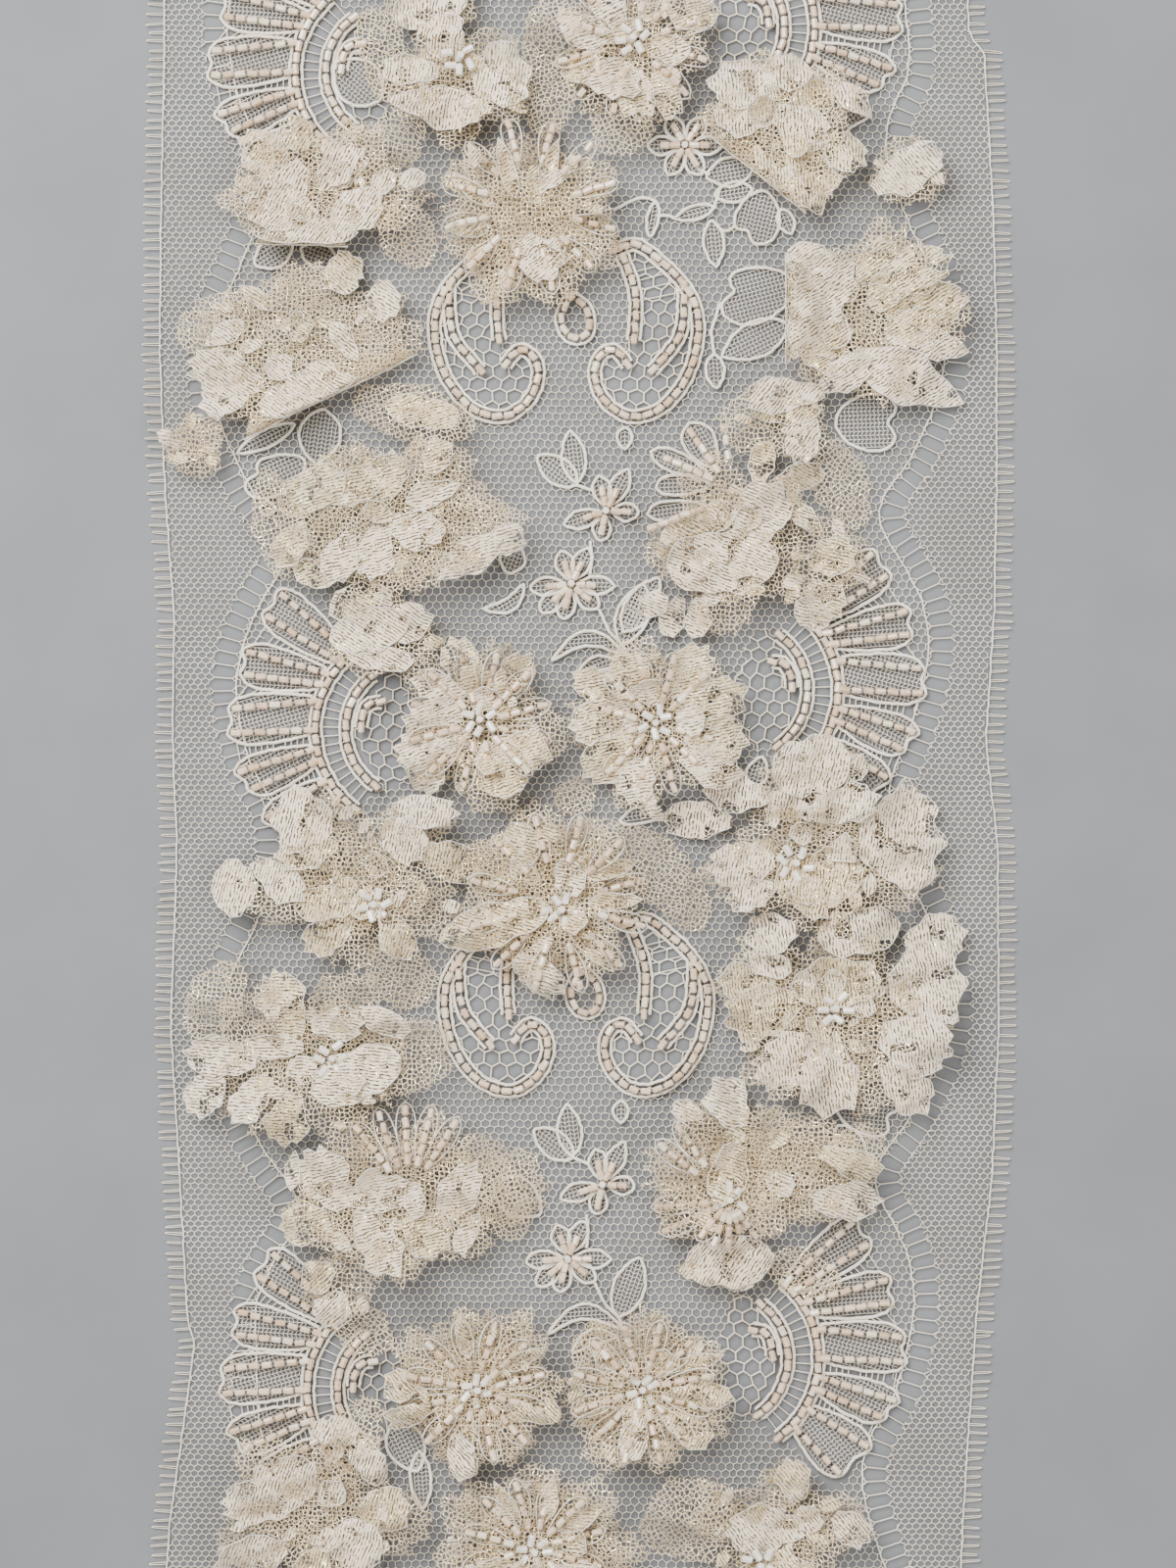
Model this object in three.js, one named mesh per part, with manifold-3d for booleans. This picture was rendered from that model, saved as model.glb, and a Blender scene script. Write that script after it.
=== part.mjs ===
// A cut length of beaded lace galloon, lying flat: a lace ground with a scalloped row of long slots
// near each side, loose thread ends along both sides, strings of beads on fans and scrolls, and
// cut lace flowers sewn down by their middles. Millimetres, +X across, +Y along, +Z up.
// The origin is under the middle of the length, on the surface that the lace lies on.
import * as THREE from 'three';
import { mergeVertices } from 'three/addons/utils/BufferGeometryUtils.js';
import Module from 'manifold-3d';

const wasm = await Module();
wasm.setup();

// Driving sizes
const LENGTH = 400;
const GROUND_THICKNESS = 1;
const CLEARANCE = 0.3;
const THREAD_END_LENGTH = 4;
const THREAD_END_ROOT = 1;
const THREAD_END_PITCH = 3.4;
const THREAD_END_UNEVEN = 0.5;
const STRIP_WIDTH = 1.5;
const SLOT_LENGTH = 5.4;
const SLOT_WIDTH = 2.4;
const SLOT_PITCH = 6.2;
const SLOT_FROM_END = 5;
const BEAD_WIDTH = 1.7;
const BEAD_FOOT = GROUND_THICKNESS + CLEARANCE;
const BEAD_TOP = BEAD_FOOT + BEAD_WIDTH;
const PETAL_THICKNESS = 1.3;
const PETAL_CLEAR = BEAD_TOP + 0.4;
const FOOT_RADIUS = 2.4;
const MIDDLE_SHARE = 0.56;
const MIDDLE_RISE = 0.9;
const PETAL_SHOULDERS = [0, 0.32, 0.68];
const LOBE_REACH = 0.97;
const LOBE_UNEVEN = 0.05;
const FOLD_RISE = 11.5;
const REPEAT = 157;
const UNEVEN_STEP = { piece: 12.99, place: 78.23 };

// The tips of the loose thread ends on each side, from the far end to the near end
const EDGES = [
  { along: 200, left: -102.6, right: 95.5 },
  { along: 177, left: -102.4, right: 96.5 },
  { along: 174, left: -102.4, right: 100 },
  { along: 140, left: -103, right: 102 },
  { along: 105, left: -103.5, right: 103 },
  { along: 70, left: -102.2, right: 103 },
  { along: 40, left: -100, right: 102.4 },
  { along: 10, left: -100.4, right: 100.4 },
  { along: -14, left: -99.3, right: 103.2 },
  { along: -58, left: -100.8, right: 103.5 },
  { along: -93, left: -98.7, right: 101.9 },
  { along: -128, left: -96.8, right: 98 },
  { along: -132, left: -95, right: 97.8 },
  { along: -151, left: -97.7, right: 96.5 },
  { along: -175, left: -101, right: 95 },
  { along: -200, left: -103, right: 94 },
];

// One repeat of the scalloped row of slots: distance from a notch, and depth in from the thread tips
const SCALLOP = [
  { along: 0, depth: 28.5 },
  { along: 12, depth: 22 },
  { along: 22, depth: 17.5 },
  { along: 35, depth: 15.8 },
  { along: 52, depth: 19 },
  { along: 64, depth: 24.5 },
  { along: 74, depth: 25 },
  { along: 88, depth: 20.5 },
  { along: 102, depth: 14.5 },
  { along: 116, depth: 13 },
  { along: 130, depth: 15 },
  { along: 145, depth: 21.5 },
];
const NOTCHES = { left: 56.5, right: 64 };

// Beaded fans: the middle of each fan's arcs. The rays of a fan point to its own side
const FANS = [
  { name: 'beaded_fan_right_1', side: 1, across: 32.6, along: 179.5 },
  { name: 'beaded_fan_right_2', side: 1, across: 38.1, along: 22.3 },
  { name: 'beaded_fan_right_3', side: 1, across: 33.5, along: -136 },
  { name: 'beaded_fan_left_1', side: -1, across: -44, along: 168.6 },
  { name: 'beaded_fan_left_2', side: -1, across: -39.3, along: 12.8 },
  { name: 'beaded_fan_left_3', side: -1, across: -41.2, along: -143.5 },
];
const INNER_ARC = { radius: 16, from: -56, to: 54 };
const OUTER_ARC = { radius: 23.2, from: -54, to: 50 };
const ARC_STEPS = 8;
const LADDER_BARS = [-36, 0, 36];
const LADDER_BAR_WIDTH = 0.8;

// The strings of beads that spread from a fan's outer arc: angles at the arc and at the tip, in degrees
const RAYS = [
  { root: 49, tip: 46, reach: 44 },
  { root: 42, tip: 38, reach: 43 },
  { root: 33, tip: 25.5, reach: 42.5 },
  { root: 26, tip: 18.5, reach: 41 },
  { root: 16, tip: 7, reach: 42 },
  { root: 0, tip: -1, reach: 42 },
  { root: -11, tip: -13.5, reach: 41.5 },
  { root: -18, tip: -20, reach: 39.5 },
  { root: -30, tip: -31, reach: 39.5 },
  { root: -43, tip: -44, reach: 38 },
];

// One beaded scroll of a pair, from the pair's axis outward and from its middle up
const SCROLL_HOOK = [
  { across: 11.1, along: 19.3 },
  { across: 16, along: 20.9 },
  { across: 20, along: 18.8 },
  { across: 27.4, along: 11.8 },
  { across: 31, along: 4.5 },
  { across: 30.6, along: -4.5 },
  { across: 27.4, along: -12.5 },
  { across: 21.6, along: -18.4 },
  { across: 14.5, along: -19.8 },
  { across: 8.8, along: -15.8 },
  { across: 6.7, along: -10 },
  { across: 8, along: -5.6 },
  { across: 11.4, along: -4.2 },
  { across: 14.4, along: -7.6 },
];
const SCROLL_INNER = [
  { across: 27.8, along: 11 },
  { across: 27.7, along: 4.6 },
  { across: 26.3, along: -1.7 },
  { across: 20.4, along: -8.9 },
];
const SCROLL_STEM = [
  { across: 12.4, along: 20.2 },
  { across: 15.6, along: 12.1 },
  { across: 16.5, along: 6.3 },
  { across: 16, along: -1.7 },
];
const SCROLL_PAIRS = [
  { number: 1, across: -3, along: 107 },
  { number: 2, across: -0.7, along: -52.8 },
];
const SCROLL_STEPS_EACH = 2;

// What kinds of sewn flower there are: lobes, how deep they are cut, and how high and wavy the rim is
const KINDS = {
  bloom: { petals: 5, notch: 0.36, rise: 7.4, ruffle: 2.1 },
  tuft: { petals: 7, notch: 0.2, rise: 6.8, ruffle: 2 },
  flap: { petals: 5, notch: 0.28, rise: 7, ruffle: 1.7 },
  leaf: { petals: 3, notch: 0.2, rise: 6, ruffle: 0.9 },
};

// The sewn flowers: middle, half width and half length, kind, turn of the first petal, and where an
// edge is folded up straight, the direction and distance of that fold from the middle
const FLOWERS = [
  { across: -28.1, along: 165, wide: 18, long: 14.5, kind: 'bloom', turn: 15 },
  { across: 12.6, along: 172.5, wide: 18.5, long: 17.5, kind: 'bloom', turn: 40 },
  { across: 47, along: 154, wide: 20.5, long: 20, kind: 'flap', turn: 0, fold: 235, foldAt: 13.5 },
  { across: 77.2, along: 144.2, wide: 9.3, long: 8.5, kind: 'leaf', turn: 30 },
  { across: -60.7, along: 140.8, wide: 24.5, long: 16, kind: 'flap', turn: 20, fold: 270, foldAt: 13.5 },
  { across: -11.6, along: 132.5, wide: 21.5, long: 21, kind: 'tuft', turn: 10 },
  { across: 68.4, along: 110, wide: 22.5, long: 22.5, kind: 'flap', turn: 35, fold: 180, foldAt: 19 },
  { across: -67, along: 102.3, wide: 30, long: 20.5, kind: 'flap', turn: 50, fold: 287, foldAt: 14 },
  { across: -42, along: 62, wide: 29, long: 21, kind: 'flap', turn: 25, fold: 300, foldAt: 17 },
  { across: -46.7, along: 36, wide: 13, long: 11.8, kind: 'leaf', turn: 45 },
  { across: 37, along: 56.5, wide: 22, long: 21, kind: 'bloom', turn: 5 },
  { across: -23.5, along: 14, wide: 20.5, long: 21, kind: 'bloom', turn: 30 },
  { across: 18.4, along: 14, wide: 21, long: 20, kind: 'bloom', turn: 0 },
  { across: 55.6, along: -17.5, wide: 29.5, long: 19, kind: 'bloom', turn: 20 },
  { across: 60.2, along: -54.5, wide: 30, long: 23, kind: 'bloom', turn: 45 },
  { across: -51.5, along: -22, wide: 28, long: 20, kind: 'bloom', turn: 10 },
  { across: -7.2, along: -26, wide: 22, long: 21, kind: 'tuft', turn: 25 },
  { across: -60.7, along: -64, wide: 31.5, long: 19.5, kind: 'bloom', turn: 35 },
  { across: -44.4, along: -98.5, wide: 25.5, long: 21, kind: 'flap', turn: 15, fold: 250, foldAt: 17 },
  { across: 41.6, along: -90.7, wide: 27, long: 16.5, kind: 'tuft', turn: 0 },
  { across: -24.2, along: -142.3, wide: 20, long: 20, kind: 'tuft', turn: 20 },
  { across: 14.9, along: -143, wide: 20, long: 19.5, kind: 'tuft', turn: 5 },
  { across: -10.7, along: -180, wide: 24.5, long: 19, kind: 'tuft', turn: 15 },
  { across: -61.9, along: -171, wide: 25, long: 20, kind: 'bloom', turn: 25 },
  { across: 47, along: -177, wide: 21, long: 18, kind: 'bloom', turn: 50 },
  { across: 35.8, along: -112.8, wide: 10.5, long: 7, kind: 'leaf', turn: 0 },
  { across: 46.5, along: 86, wide: 14, long: 10, kind: 'leaf', turn: 20 },
  { across: 58, along: 53, wide: 11, long: 11, kind: 'leaf', turn: 60 },
  { across: 55, along: 0.5, wide: 12.5, long: 10, kind: 'leaf', turn: 10 },
  { across: -56.5, along: -118.5, wide: 9, long: 8.5, kind: 'leaf', turn: 40 },
  { across: -90.5, along: 79.5, wide: 7.5, long: 8, kind: 'leaf', turn: 0 },
  { across: -35, along: 185, wide: 12.5, long: 8, kind: 'leaf', turn: 15 },
];

const COLOURS = {
  net: { color: 0xdcd2bf, roughness: 0.85 },
  petal: { color: 0xe9dfc9, roughness: 0.75 },
  tulle: { color: 0xd9c9a8, roughness: 0.7 },
  bead: { color: 0xe6d3bb, roughness: 0.25 },
};

const degrees = THREE.MathUtils.degToRad;
const part = new THREE.Group();

// Adds one named piece to the part
function addPiece(name, geometry, finish) {
  const material = new THREE.MeshStandardMaterial({ ...COLOURS[finish], metalness: 0 });
  const mesh = new THREE.Mesh(geometry, material);
  mesh.name = name;
  part.add(mesh);
}

// A repeatable unevenness from -1 to 1, for the number of a piece and of a place on it
function uneven(piece, place) {
  return Math.sin(UNEVEN_STEP.piece * piece + UNEVEN_STEP.place * place);
}

// Where the thread tips are on one side, at a distance along the length
function edgeAt(side, along) {
  const row = Math.max(1, EDGES.findIndex((edge) => edge.along <= along));
  const from = EDGES[row - 1];
  const to = EDGES[row];
  const share = (from.along - along) / (from.along - to.along);
  return THREE.MathUtils.lerp(from[side], to[side], share);
}

// The points of one side's edge, moved in from the thread tips, from the near end to the far end
function edgeLine(side, inset) {
  const inward = side === 'left' ? inset : -inset;
  return EDGES.map((row) => new THREE.Vector2(row[side] + inward, row.along)).reverse();
}

function extrude(shape, foot, height) {
  const geometry = new THREE.ExtrudeGeometry(shape, { depth: height, bevelEnabled: false });
  return geometry.translate(0, 0, foot);
}

// The curve along which one side's slots stand, over the whole length
function scallopCurve(side) {
  const points = [];
  const inward = side === 'left' ? 1 : -1;
  const repeats = Math.ceil(LENGTH / 2 / REPEAT);
  for (let turn = repeats; turn >= -repeats; turn -= 1) {
    for (const row of SCALLOP) {
      const along = NOTCHES[side] + turn * REPEAT - row.along;
      if (Math.abs(along) < LENGTH / 2) {
        points.push(new THREE.Vector2(edgeAt(side, along) + inward * row.depth, along));
      }
    }
  }
  return new THREE.SplineCurve(points);
}

// One long six-sided slot that stands square to the scalloped line
function slotPath(middle, direction) {
  const half = SLOT_LENGTH / 2;
  const side = SLOT_WIDTH / 2;
  const corners = [
    [half, 0],
    [half - side, side],
    [side - half, side],
    [-half, 0],
    [side - half, -side],
    [half - side, -side],
  ];
  const points = corners.map(([out, over]) => new THREE.Vector2(
    middle.x - direction.y * out + direction.x * over,
    middle.y + direction.x * out + direction.y * over,
  ));
  return new THREE.Path(points);
}

function groundLace() {
  const inset = THREAD_END_LENGTH + STRIP_WIDTH + CLEARANCE;
  const outline = [...edgeLine('right', inset), ...edgeLine('left', inset).reverse()];
  const shape = new THREE.Shape(outline);
  for (const side of ['left', 'right']) {
    const curve = scallopCurve(side);
    const count = Math.round(curve.getLength() / SLOT_PITCH);
    for (let slot = 0; slot <= count; slot += 1) {
      const middle = curve.getPointAt(slot / count);
      if (Math.abs(middle.y) < LENGTH / 2 - SLOT_FROM_END) {
        shape.holes.push(slotPath(middle, curve.getTangentAt(slot / count)));
      }
    }
  }
  return extrude(shape, 0, GROUND_THICKNESS);
}

// A narrow strip at one side of the ground, with pointed loose thread ends along its outer edge
function threadEnds(side) {
  const outward = side === 'left' ? -1 : 1;
  const inner = edgeLine(side, THREAD_END_LENGTH + STRIP_WIDTH);
  const count = Math.floor(LENGTH / THREAD_END_PITCH);
  const start = -LENGTH / 2;
  const comb = [];
  const root = (along) => edgeAt(side, along) - outward * THREAD_END_LENGTH;
  comb.push(new THREE.Vector2(root(start), start));
  for (let end = 0; end < count; end += 1) {
    const along = start + (end + 0.5) * (LENGTH / count);
    const below = along - THREAD_END_ROOT / 2;
    const above = along + THREAD_END_ROOT / 2;
    const short = THREAD_END_UNEVEN * Math.abs(uneven(1, end));
    comb.push(new THREE.Vector2(root(below), below));
    comb.push(new THREE.Vector2(edgeAt(side, along) - outward * short, along));
    comb.push(new THREE.Vector2(root(above), above));
  }
  comb.push(new THREE.Vector2(root(-start), -start));
  return extrude(new THREE.Shape([...inner, ...comb.reverse()]), 0, GROUND_THICKNESS);
}

// A ribbon of one width along a line of points, as deep as a bead
function strand(points, width = BEAD_WIDTH) {
  const near = [];
  const far = [];
  points.forEach((point, index) => {
    const before = points[Math.max(index - 1, 0)];
    const after = points[Math.min(index + 1, points.length - 1)];
    const across = after.clone().sub(before).normalize().multiplyScalar(width / 2);
    near.push(new THREE.Vector2(point.x + across.y, point.y - across.x));
    far.push(new THREE.Vector2(point.x - across.y, point.y + across.x));
  });
  return extrude(new THREE.Shape([...near, ...far.reverse()]), BEAD_FOOT, BEAD_WIDTH);
}

function toSolid(geometry) {
  const bare = geometry.clone();
  bare.deleteAttribute('normal');
  bare.deleteAttribute('uv');
  const merged = mergeVertices(bare);
  const vertProperties = new Float32Array(merged.attributes.position.array);
  const triVerts = new Uint32Array(merged.index.array);
  return new wasm.Manifold(new wasm.Mesh({ numProp: 3, vertProperties, triVerts }));
}

// Several strands that cross or meet, as one solid
function join(geometries) {
  const solid = geometries.map(toSolid).reduce((whole, next) => whole.add(next));
  const mesh = solid.getMesh();
  const geometry = new THREE.BufferGeometry();
  geometry.setAttribute('position', new THREE.BufferAttribute(new Float32Array(mesh.vertProperties), 3));
  geometry.setIndex(new THREE.BufferAttribute(new Uint32Array(mesh.triVerts), 1));
  return geometry;
}

// A place on a fan, from the angle above its axis and the distance from its middle
function fanPoint(fan, angle, radius) {
  const across = fan.across + fan.side * radius * Math.cos(degrees(angle));
  const along = fan.along + radius * Math.sin(degrees(angle));
  return new THREE.Vector2(across, along);
}

function inLength(point) {
  return Math.abs(point.y) < LENGTH / 2 - BEAD_WIDTH;
}

function beadedFan(fan) {
  const pieces = [];
  for (const arc of [INNER_ARC, OUTER_ARC]) {
    const angles = Array.from({ length: ARC_STEPS + 1 }, (unused, step) => (
      THREE.MathUtils.lerp(arc.from, arc.to, step / ARC_STEPS)
    ));
    pieces.push(strand(angles.map((angle) => fanPoint(fan, angle, arc.radius)).filter(inLength)));
  }
  const ends = [INNER_ARC.radius, OUTER_ARC.radius];
  for (const angle of LADDER_BARS) {
    const bar = ends.map((radius) => fanPoint(fan, angle, radius));
    if (bar.every(inLength)) {
      pieces.push(strand(bar, LADDER_BAR_WIDTH));
    }
  }
  for (const ray of RAYS) {
    const line = [fanPoint(fan, ray.root, OUTER_ARC.radius), fanPoint(fan, ray.tip, ray.reach)];
    if (line.every(inLength)) {
      pieces.push(strand(line));
    }
  }
  return join(pieces);
}

function beadedScroll(pair, side) {
  const lines = [SCROLL_HOOK, SCROLL_INNER, SCROLL_STEM].map((rows) => {
    const points = rows.map((row) => (
      new THREE.Vector2(pair.across + side * row.across, pair.along + row.along)
    ));
    return strand(new THREE.SplineCurve(points).getPoints(SCROLL_STEPS_EACH * (rows.length - 1)));
  });
  return join(lines);
}

// How far a flower spreads from its middle in one direction, before it meets a neighbour
function spread(flower, angle) {
  return 1 / Math.hypot(Math.cos(angle) / flower.wide, Math.sin(angle) / flower.long);
}

// Distance from a flower's middle to the nearest line that parts it from a neighbour
function roomToward(flower, angle) {
  let room = Infinity;
  for (const other of FLOWERS) {
    const away = new THREE.Vector2(other.across - flower.across, other.along - flower.along);
    const toward = away.angle();
    const facing = Math.cos(angle - toward);
    if (other !== flower && facing > 0) {
      const own = spread(flower, toward);
      const share = own / (own + spread(other, toward + Math.PI));
      room = Math.min(room, (away.length() * share - CLEARANCE / 2) / facing);
    }
  }
  return room;
}

// One spoke of a flower: where its rim is, and how high, at one place on one petal
function rimPoint(flower, number, kind, petal, shoulder) {
  const angle = degrees(flower.turn) + ((petal + shoulder) / kind.petals) * 2 * Math.PI;
  const place = petal * PETAL_SHOULDERS.length + shoulder;
  const lobe = shoulder === 0 ? 1 - kind.notch : LOBE_REACH + LOBE_UNEVEN * uneven(number, petal);
  let reach = Math.min(spread(flower, angle) * lobe, roomToward(flower, angle));
  let height = kind.rise + kind.ruffle * uneven(number, place);
  if (flower.fold !== undefined) {
    const facing = Math.cos(angle - degrees(flower.fold));
    if (facing > 0) {
      reach = Math.min(reach, flower.foldAt / facing);
      height = THREE.MathUtils.lerp(height, FOLD_RISE, facing * facing);
    }
  }
  return { angle, reach, height: Math.max(height, PETAL_CLEAR + PETAL_THICKNESS) };
}

// A sewn flower: a closed sheet from a small sewn foot out to a lobed, wavy rim
function sewnFlower(flower, number) {
  const kind = KINDS[flower.kind];
  const spokes = [];
  for (let petal = 0; petal < kind.petals; petal += 1) {
    for (const shoulder of PETAL_SHOULDERS) {
      spokes.push(rimPoint(flower, number, kind, petal, shoulder));
    }
  }
  const count = spokes.length;
  const positions = [];
  const place = (spoke, radius, height) => positions.push(
    flower.across + radius * Math.cos(spoke.angle),
    flower.along + radius * Math.sin(spoke.angle),
    height,
  );
  const middleTop = PETAL_CLEAR + MIDDLE_RISE + PETAL_THICKNESS;
  spokes.forEach((spoke) => place(spoke, FOOT_RADIUS, BEAD_FOOT));
  spokes.forEach((spoke) => place(spoke, FOOT_RADIUS, PETAL_CLEAR));
  spokes.forEach((spoke) => place(spoke, spoke.reach * MIDDLE_SHARE, PETAL_CLEAR + MIDDLE_RISE));
  spokes.forEach((spoke) => place(spoke, spoke.reach, spoke.height - PETAL_THICKNESS));
  spokes.forEach((spoke) => place(spoke, spoke.reach, spoke.height));
  spokes.forEach((spoke) => place(spoke, spoke.reach * MIDDLE_SHARE, middleTop));
  positions.push(flower.across, flower.along, BEAD_FOOT);
  positions.push(flower.across, flower.along, PETAL_CLEAR);
  const rings = 6;
  const under = rings * count;
  const over = under + 1;
  const faces = [];
  for (let spoke = 0; spoke < count; spoke += 1) {
    const next = (spoke + 1) % count;
    for (let ring = 0; ring + 1 < rings; ring += 1) {
      const low = ring * count;
      const high = low + count;
      faces.push(low + spoke, low + next, high + next, low + spoke, high + next, high + spoke);
    }
    const last = (rings - 1) * count;
    faces.push(under, next, spoke, over, last + spoke, last + next);
  }
  const geometry = new THREE.BufferGeometry();
  geometry.setAttribute('position', new THREE.Float32BufferAttribute(positions, 3));
  geometry.setIndex(faces);
  return geometry;
}

addPiece('ground_lace', groundLace(), 'net');
addPiece('thread_ends_left', threadEnds('left'), 'net');
addPiece('thread_ends_right', threadEnds('right'), 'net');
FANS.forEach((fan) => addPiece(fan.name, beadedFan(fan), 'bead'));
for (const pair of SCROLL_PAIRS) {
  addPiece(`beaded_scroll_left_${pair.number}`, beadedScroll(pair, -1), 'bead');
  addPiece(`beaded_scroll_right_${pair.number}`, beadedScroll(pair, 1), 'bead');
}
FLOWERS.forEach((flower, index) => {
  const number = String(index + 1).padStart(2, '0');
  addPiece(`sewn_flower_${number}`, sewnFlower(flower, index), flower.kind === 'tuft' ? 'tulle' : 'petal');
});

export default part;
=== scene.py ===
# %% [markdown]
# # A cut length of beaded lace edging
#
# The edging is a band of machine lace. A fine net runs along both sides and ends in loose threads. Inside
# it a scalloped row of long slots frames the pattern: fans, scrolls, leaves and little flowers, outlined
# with a white cord, filled with a close weave and sewn with short beads. Cut lace flowers are sewn on by
# their middles, so that their petals stand up. Everything is placed in the frame of the packed solids.

# %% The packed solids
import math
from collections import namedtuple

import bpy
import numpy as np
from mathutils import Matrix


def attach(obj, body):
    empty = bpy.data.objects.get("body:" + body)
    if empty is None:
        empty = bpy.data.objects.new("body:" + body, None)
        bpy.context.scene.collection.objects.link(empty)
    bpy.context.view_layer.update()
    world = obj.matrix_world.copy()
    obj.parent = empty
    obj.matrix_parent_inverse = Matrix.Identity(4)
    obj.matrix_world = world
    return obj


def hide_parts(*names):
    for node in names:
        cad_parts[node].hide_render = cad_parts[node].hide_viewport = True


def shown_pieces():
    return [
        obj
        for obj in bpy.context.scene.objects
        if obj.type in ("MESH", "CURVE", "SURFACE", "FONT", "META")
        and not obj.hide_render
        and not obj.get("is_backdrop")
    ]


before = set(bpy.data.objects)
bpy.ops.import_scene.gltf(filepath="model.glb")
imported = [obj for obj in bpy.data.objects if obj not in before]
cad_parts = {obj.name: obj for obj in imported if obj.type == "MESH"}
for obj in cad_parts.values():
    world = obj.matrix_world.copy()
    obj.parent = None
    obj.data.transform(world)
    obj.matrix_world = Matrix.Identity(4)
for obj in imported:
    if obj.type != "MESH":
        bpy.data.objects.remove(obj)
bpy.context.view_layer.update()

MM = 0.001
scene = bpy.context.scene

# %% [markdown]
# ## Camera
#
# The band lies flat and is seen from straight above. One pixel of the photograph is a known part of a
# millimetre, so the height of the view follows from it, and the lens follows from the camera's height.

# %% Camera above the band
PHOTO_WIDTH_PX = 1200
PHOTO_HEIGHT_PX = 1600
PHOTO_PX_PER_MM = 4.3
BAND_MIDDLE_PX = 591
CAMERA_HEIGHT = 0.9
SENSOR_HEIGHT_MM = 24

camera_data = bpy.data.cameras.new("camera_above")
camera_data.sensor_fit = "VERTICAL"
camera_data.sensor_height = SENSOR_HEIGHT_MM
view_height = PHOTO_HEIGHT_PX / PHOTO_PX_PER_MM * MM
camera_data.lens = SENSOR_HEIGHT_MM * CAMERA_HEIGHT / view_height
camera = bpy.data.objects.new("camera_above", camera_data)
scene.collection.objects.link(camera)
view_middle = (PHOTO_WIDTH_PX / 2 - BAND_MIDDLE_PX) / PHOTO_PX_PER_MM * MM
camera.location = (view_middle, 0, CAMERA_HEIGHT)
scene.camera = camera
print("view height in metres:", round(view_height, 4), "lens in mm:", round(camera_data.lens, 1))

# %% [markdown]
# ## Light
#
# Pale thread shows its relief by small shadows, so the main light is a soft panel that shines at a slant
# from beyond the far left corner. A weaker panel and the world's even light keep the shadows open.

# %% Soft panels and the world
LightPanel = namedtuple("LightPanel", "name place size power")
LIGHT_PANELS = [
    LightPanel("main_panel", (-0.45, 0.55, 0.9), 0.9, 18),
    LightPanel("open_panel", (0.8, -0.5, 0.9), 0.9, 6),
]
WORLD_COLOUR = (1, 0.985, 0.96, 1)
WORLD_STRENGTH = 0.5


def add_panel(panel):
    lamp = bpy.data.lights.new(panel.name, "AREA")
    lamp.shape = "DISK"
    lamp.size = panel.size
    lamp.energy = panel.power
    holder = bpy.data.objects.new(panel.name, lamp)
    scene.collection.objects.link(holder)
    holder.location = panel.place
    holder.rotation_euler = (-holder.location).to_track_quat("-Z", "Y").to_euler()


for panel in LIGHT_PANELS:
    add_panel(panel)
world = bpy.data.worlds.new("even_light")
world.use_nodes = True
world.node_tree.nodes["Background"].inputs["Color"].default_value = WORLD_COLOUR
world.node_tree.nodes["Background"].inputs["Strength"].default_value = WORLD_STRENGTH
scene.world = world
scene.view_settings.look = "AgX - Medium High Contrast"
print("panels:", len(LIGHT_PANELS))

# %% [markdown]
# ## Gathering small bits
#
# Lace is thousands of short threads. One Blender object for each would be far too slow, so the points and
# faces of many bits are gathered in arrays and written to one mesh at once. A thread is a three-sided
# prism with a ridge on top: shaded smooth, it looks round at this size.

# %% Bits and threads
THREAD_SIDES = 3
JOINT_OVERLAP = 0.3  # of a thread's width, so that two bits of a thread run into each other
PLAIN_TONE = 0.5
TINY = 1e-6  # keeps a length from being zero
FULL_TURN = 2 * np.pi


class Bits:
    """Points and four-cornered faces of many small bits, for one joined mesh. Sizes are in millimetres."""

    def __init__(self):
        self.points, self.faces, self.finishes = [], [], []
        self.weave, self.tones = [], []
        self.count = 0

    def add(self, points, faces, finish=0, tone=PLAIN_TONE, weave=None):
        self.points.append(points)
        self.faces.append(faces + self.count)
        self.finishes.append(np.full(len(faces), finish))
        self.weave.append(np.zeros((len(points), 2)) if weave is None else weave)
        self.tones.append(np.broadcast_to(tone, len(points)))
        self.count += len(points)


def unit(vectors):
    """The same directions, each with a length of one."""
    return vectors / np.maximum(np.linalg.norm(vectors, axis=-1, keepdims=True), TINY)


def add_threads(bits, starts, ends, width):
    """Adds a straight bit of thread from each start to each end."""
    along = unit(ends - starts)
    side = np.cross(along, (0, 0, 1)) + (0, TINY, 0)
    side = side / np.linalg.norm(side, axis=1, keepdims=True)
    up = np.cross(side, along)
    turn = FULL_TURN * np.arange(THREAD_SIDES) / THREAD_SIDES + np.pi / 2
    around = side[:, None] * np.cos(turn)[:, None] + up[:, None] * np.sin(turn)[:, None]
    around = around * width / 2
    overlap = (along * width * JOINT_OVERLAP)[:, None]
    near = starts[:, None] - overlap + around
    far = ends[:, None] + overlap + around
    points = np.concatenate([near, far], axis=1).reshape(-1, 3)
    corner = np.arange(THREAD_SIDES)
    after = (corner + 1) % THREAD_SIDES
    ring = np.stack([corner, corner + THREAD_SIDES, after + THREAD_SIDES, after], axis=1)
    first = np.arange(len(starts)) * 2 * THREAD_SIDES
    faces = (first[:, None, None] + ring).reshape(-1, 4)
    bits.add(points, faces)


def add_line(bits, line, width):
    add_threads(bits, line[:-1], line[1:], width)


print("corners of one bit of thread:", 2 * THREAD_SIDES)
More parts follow.
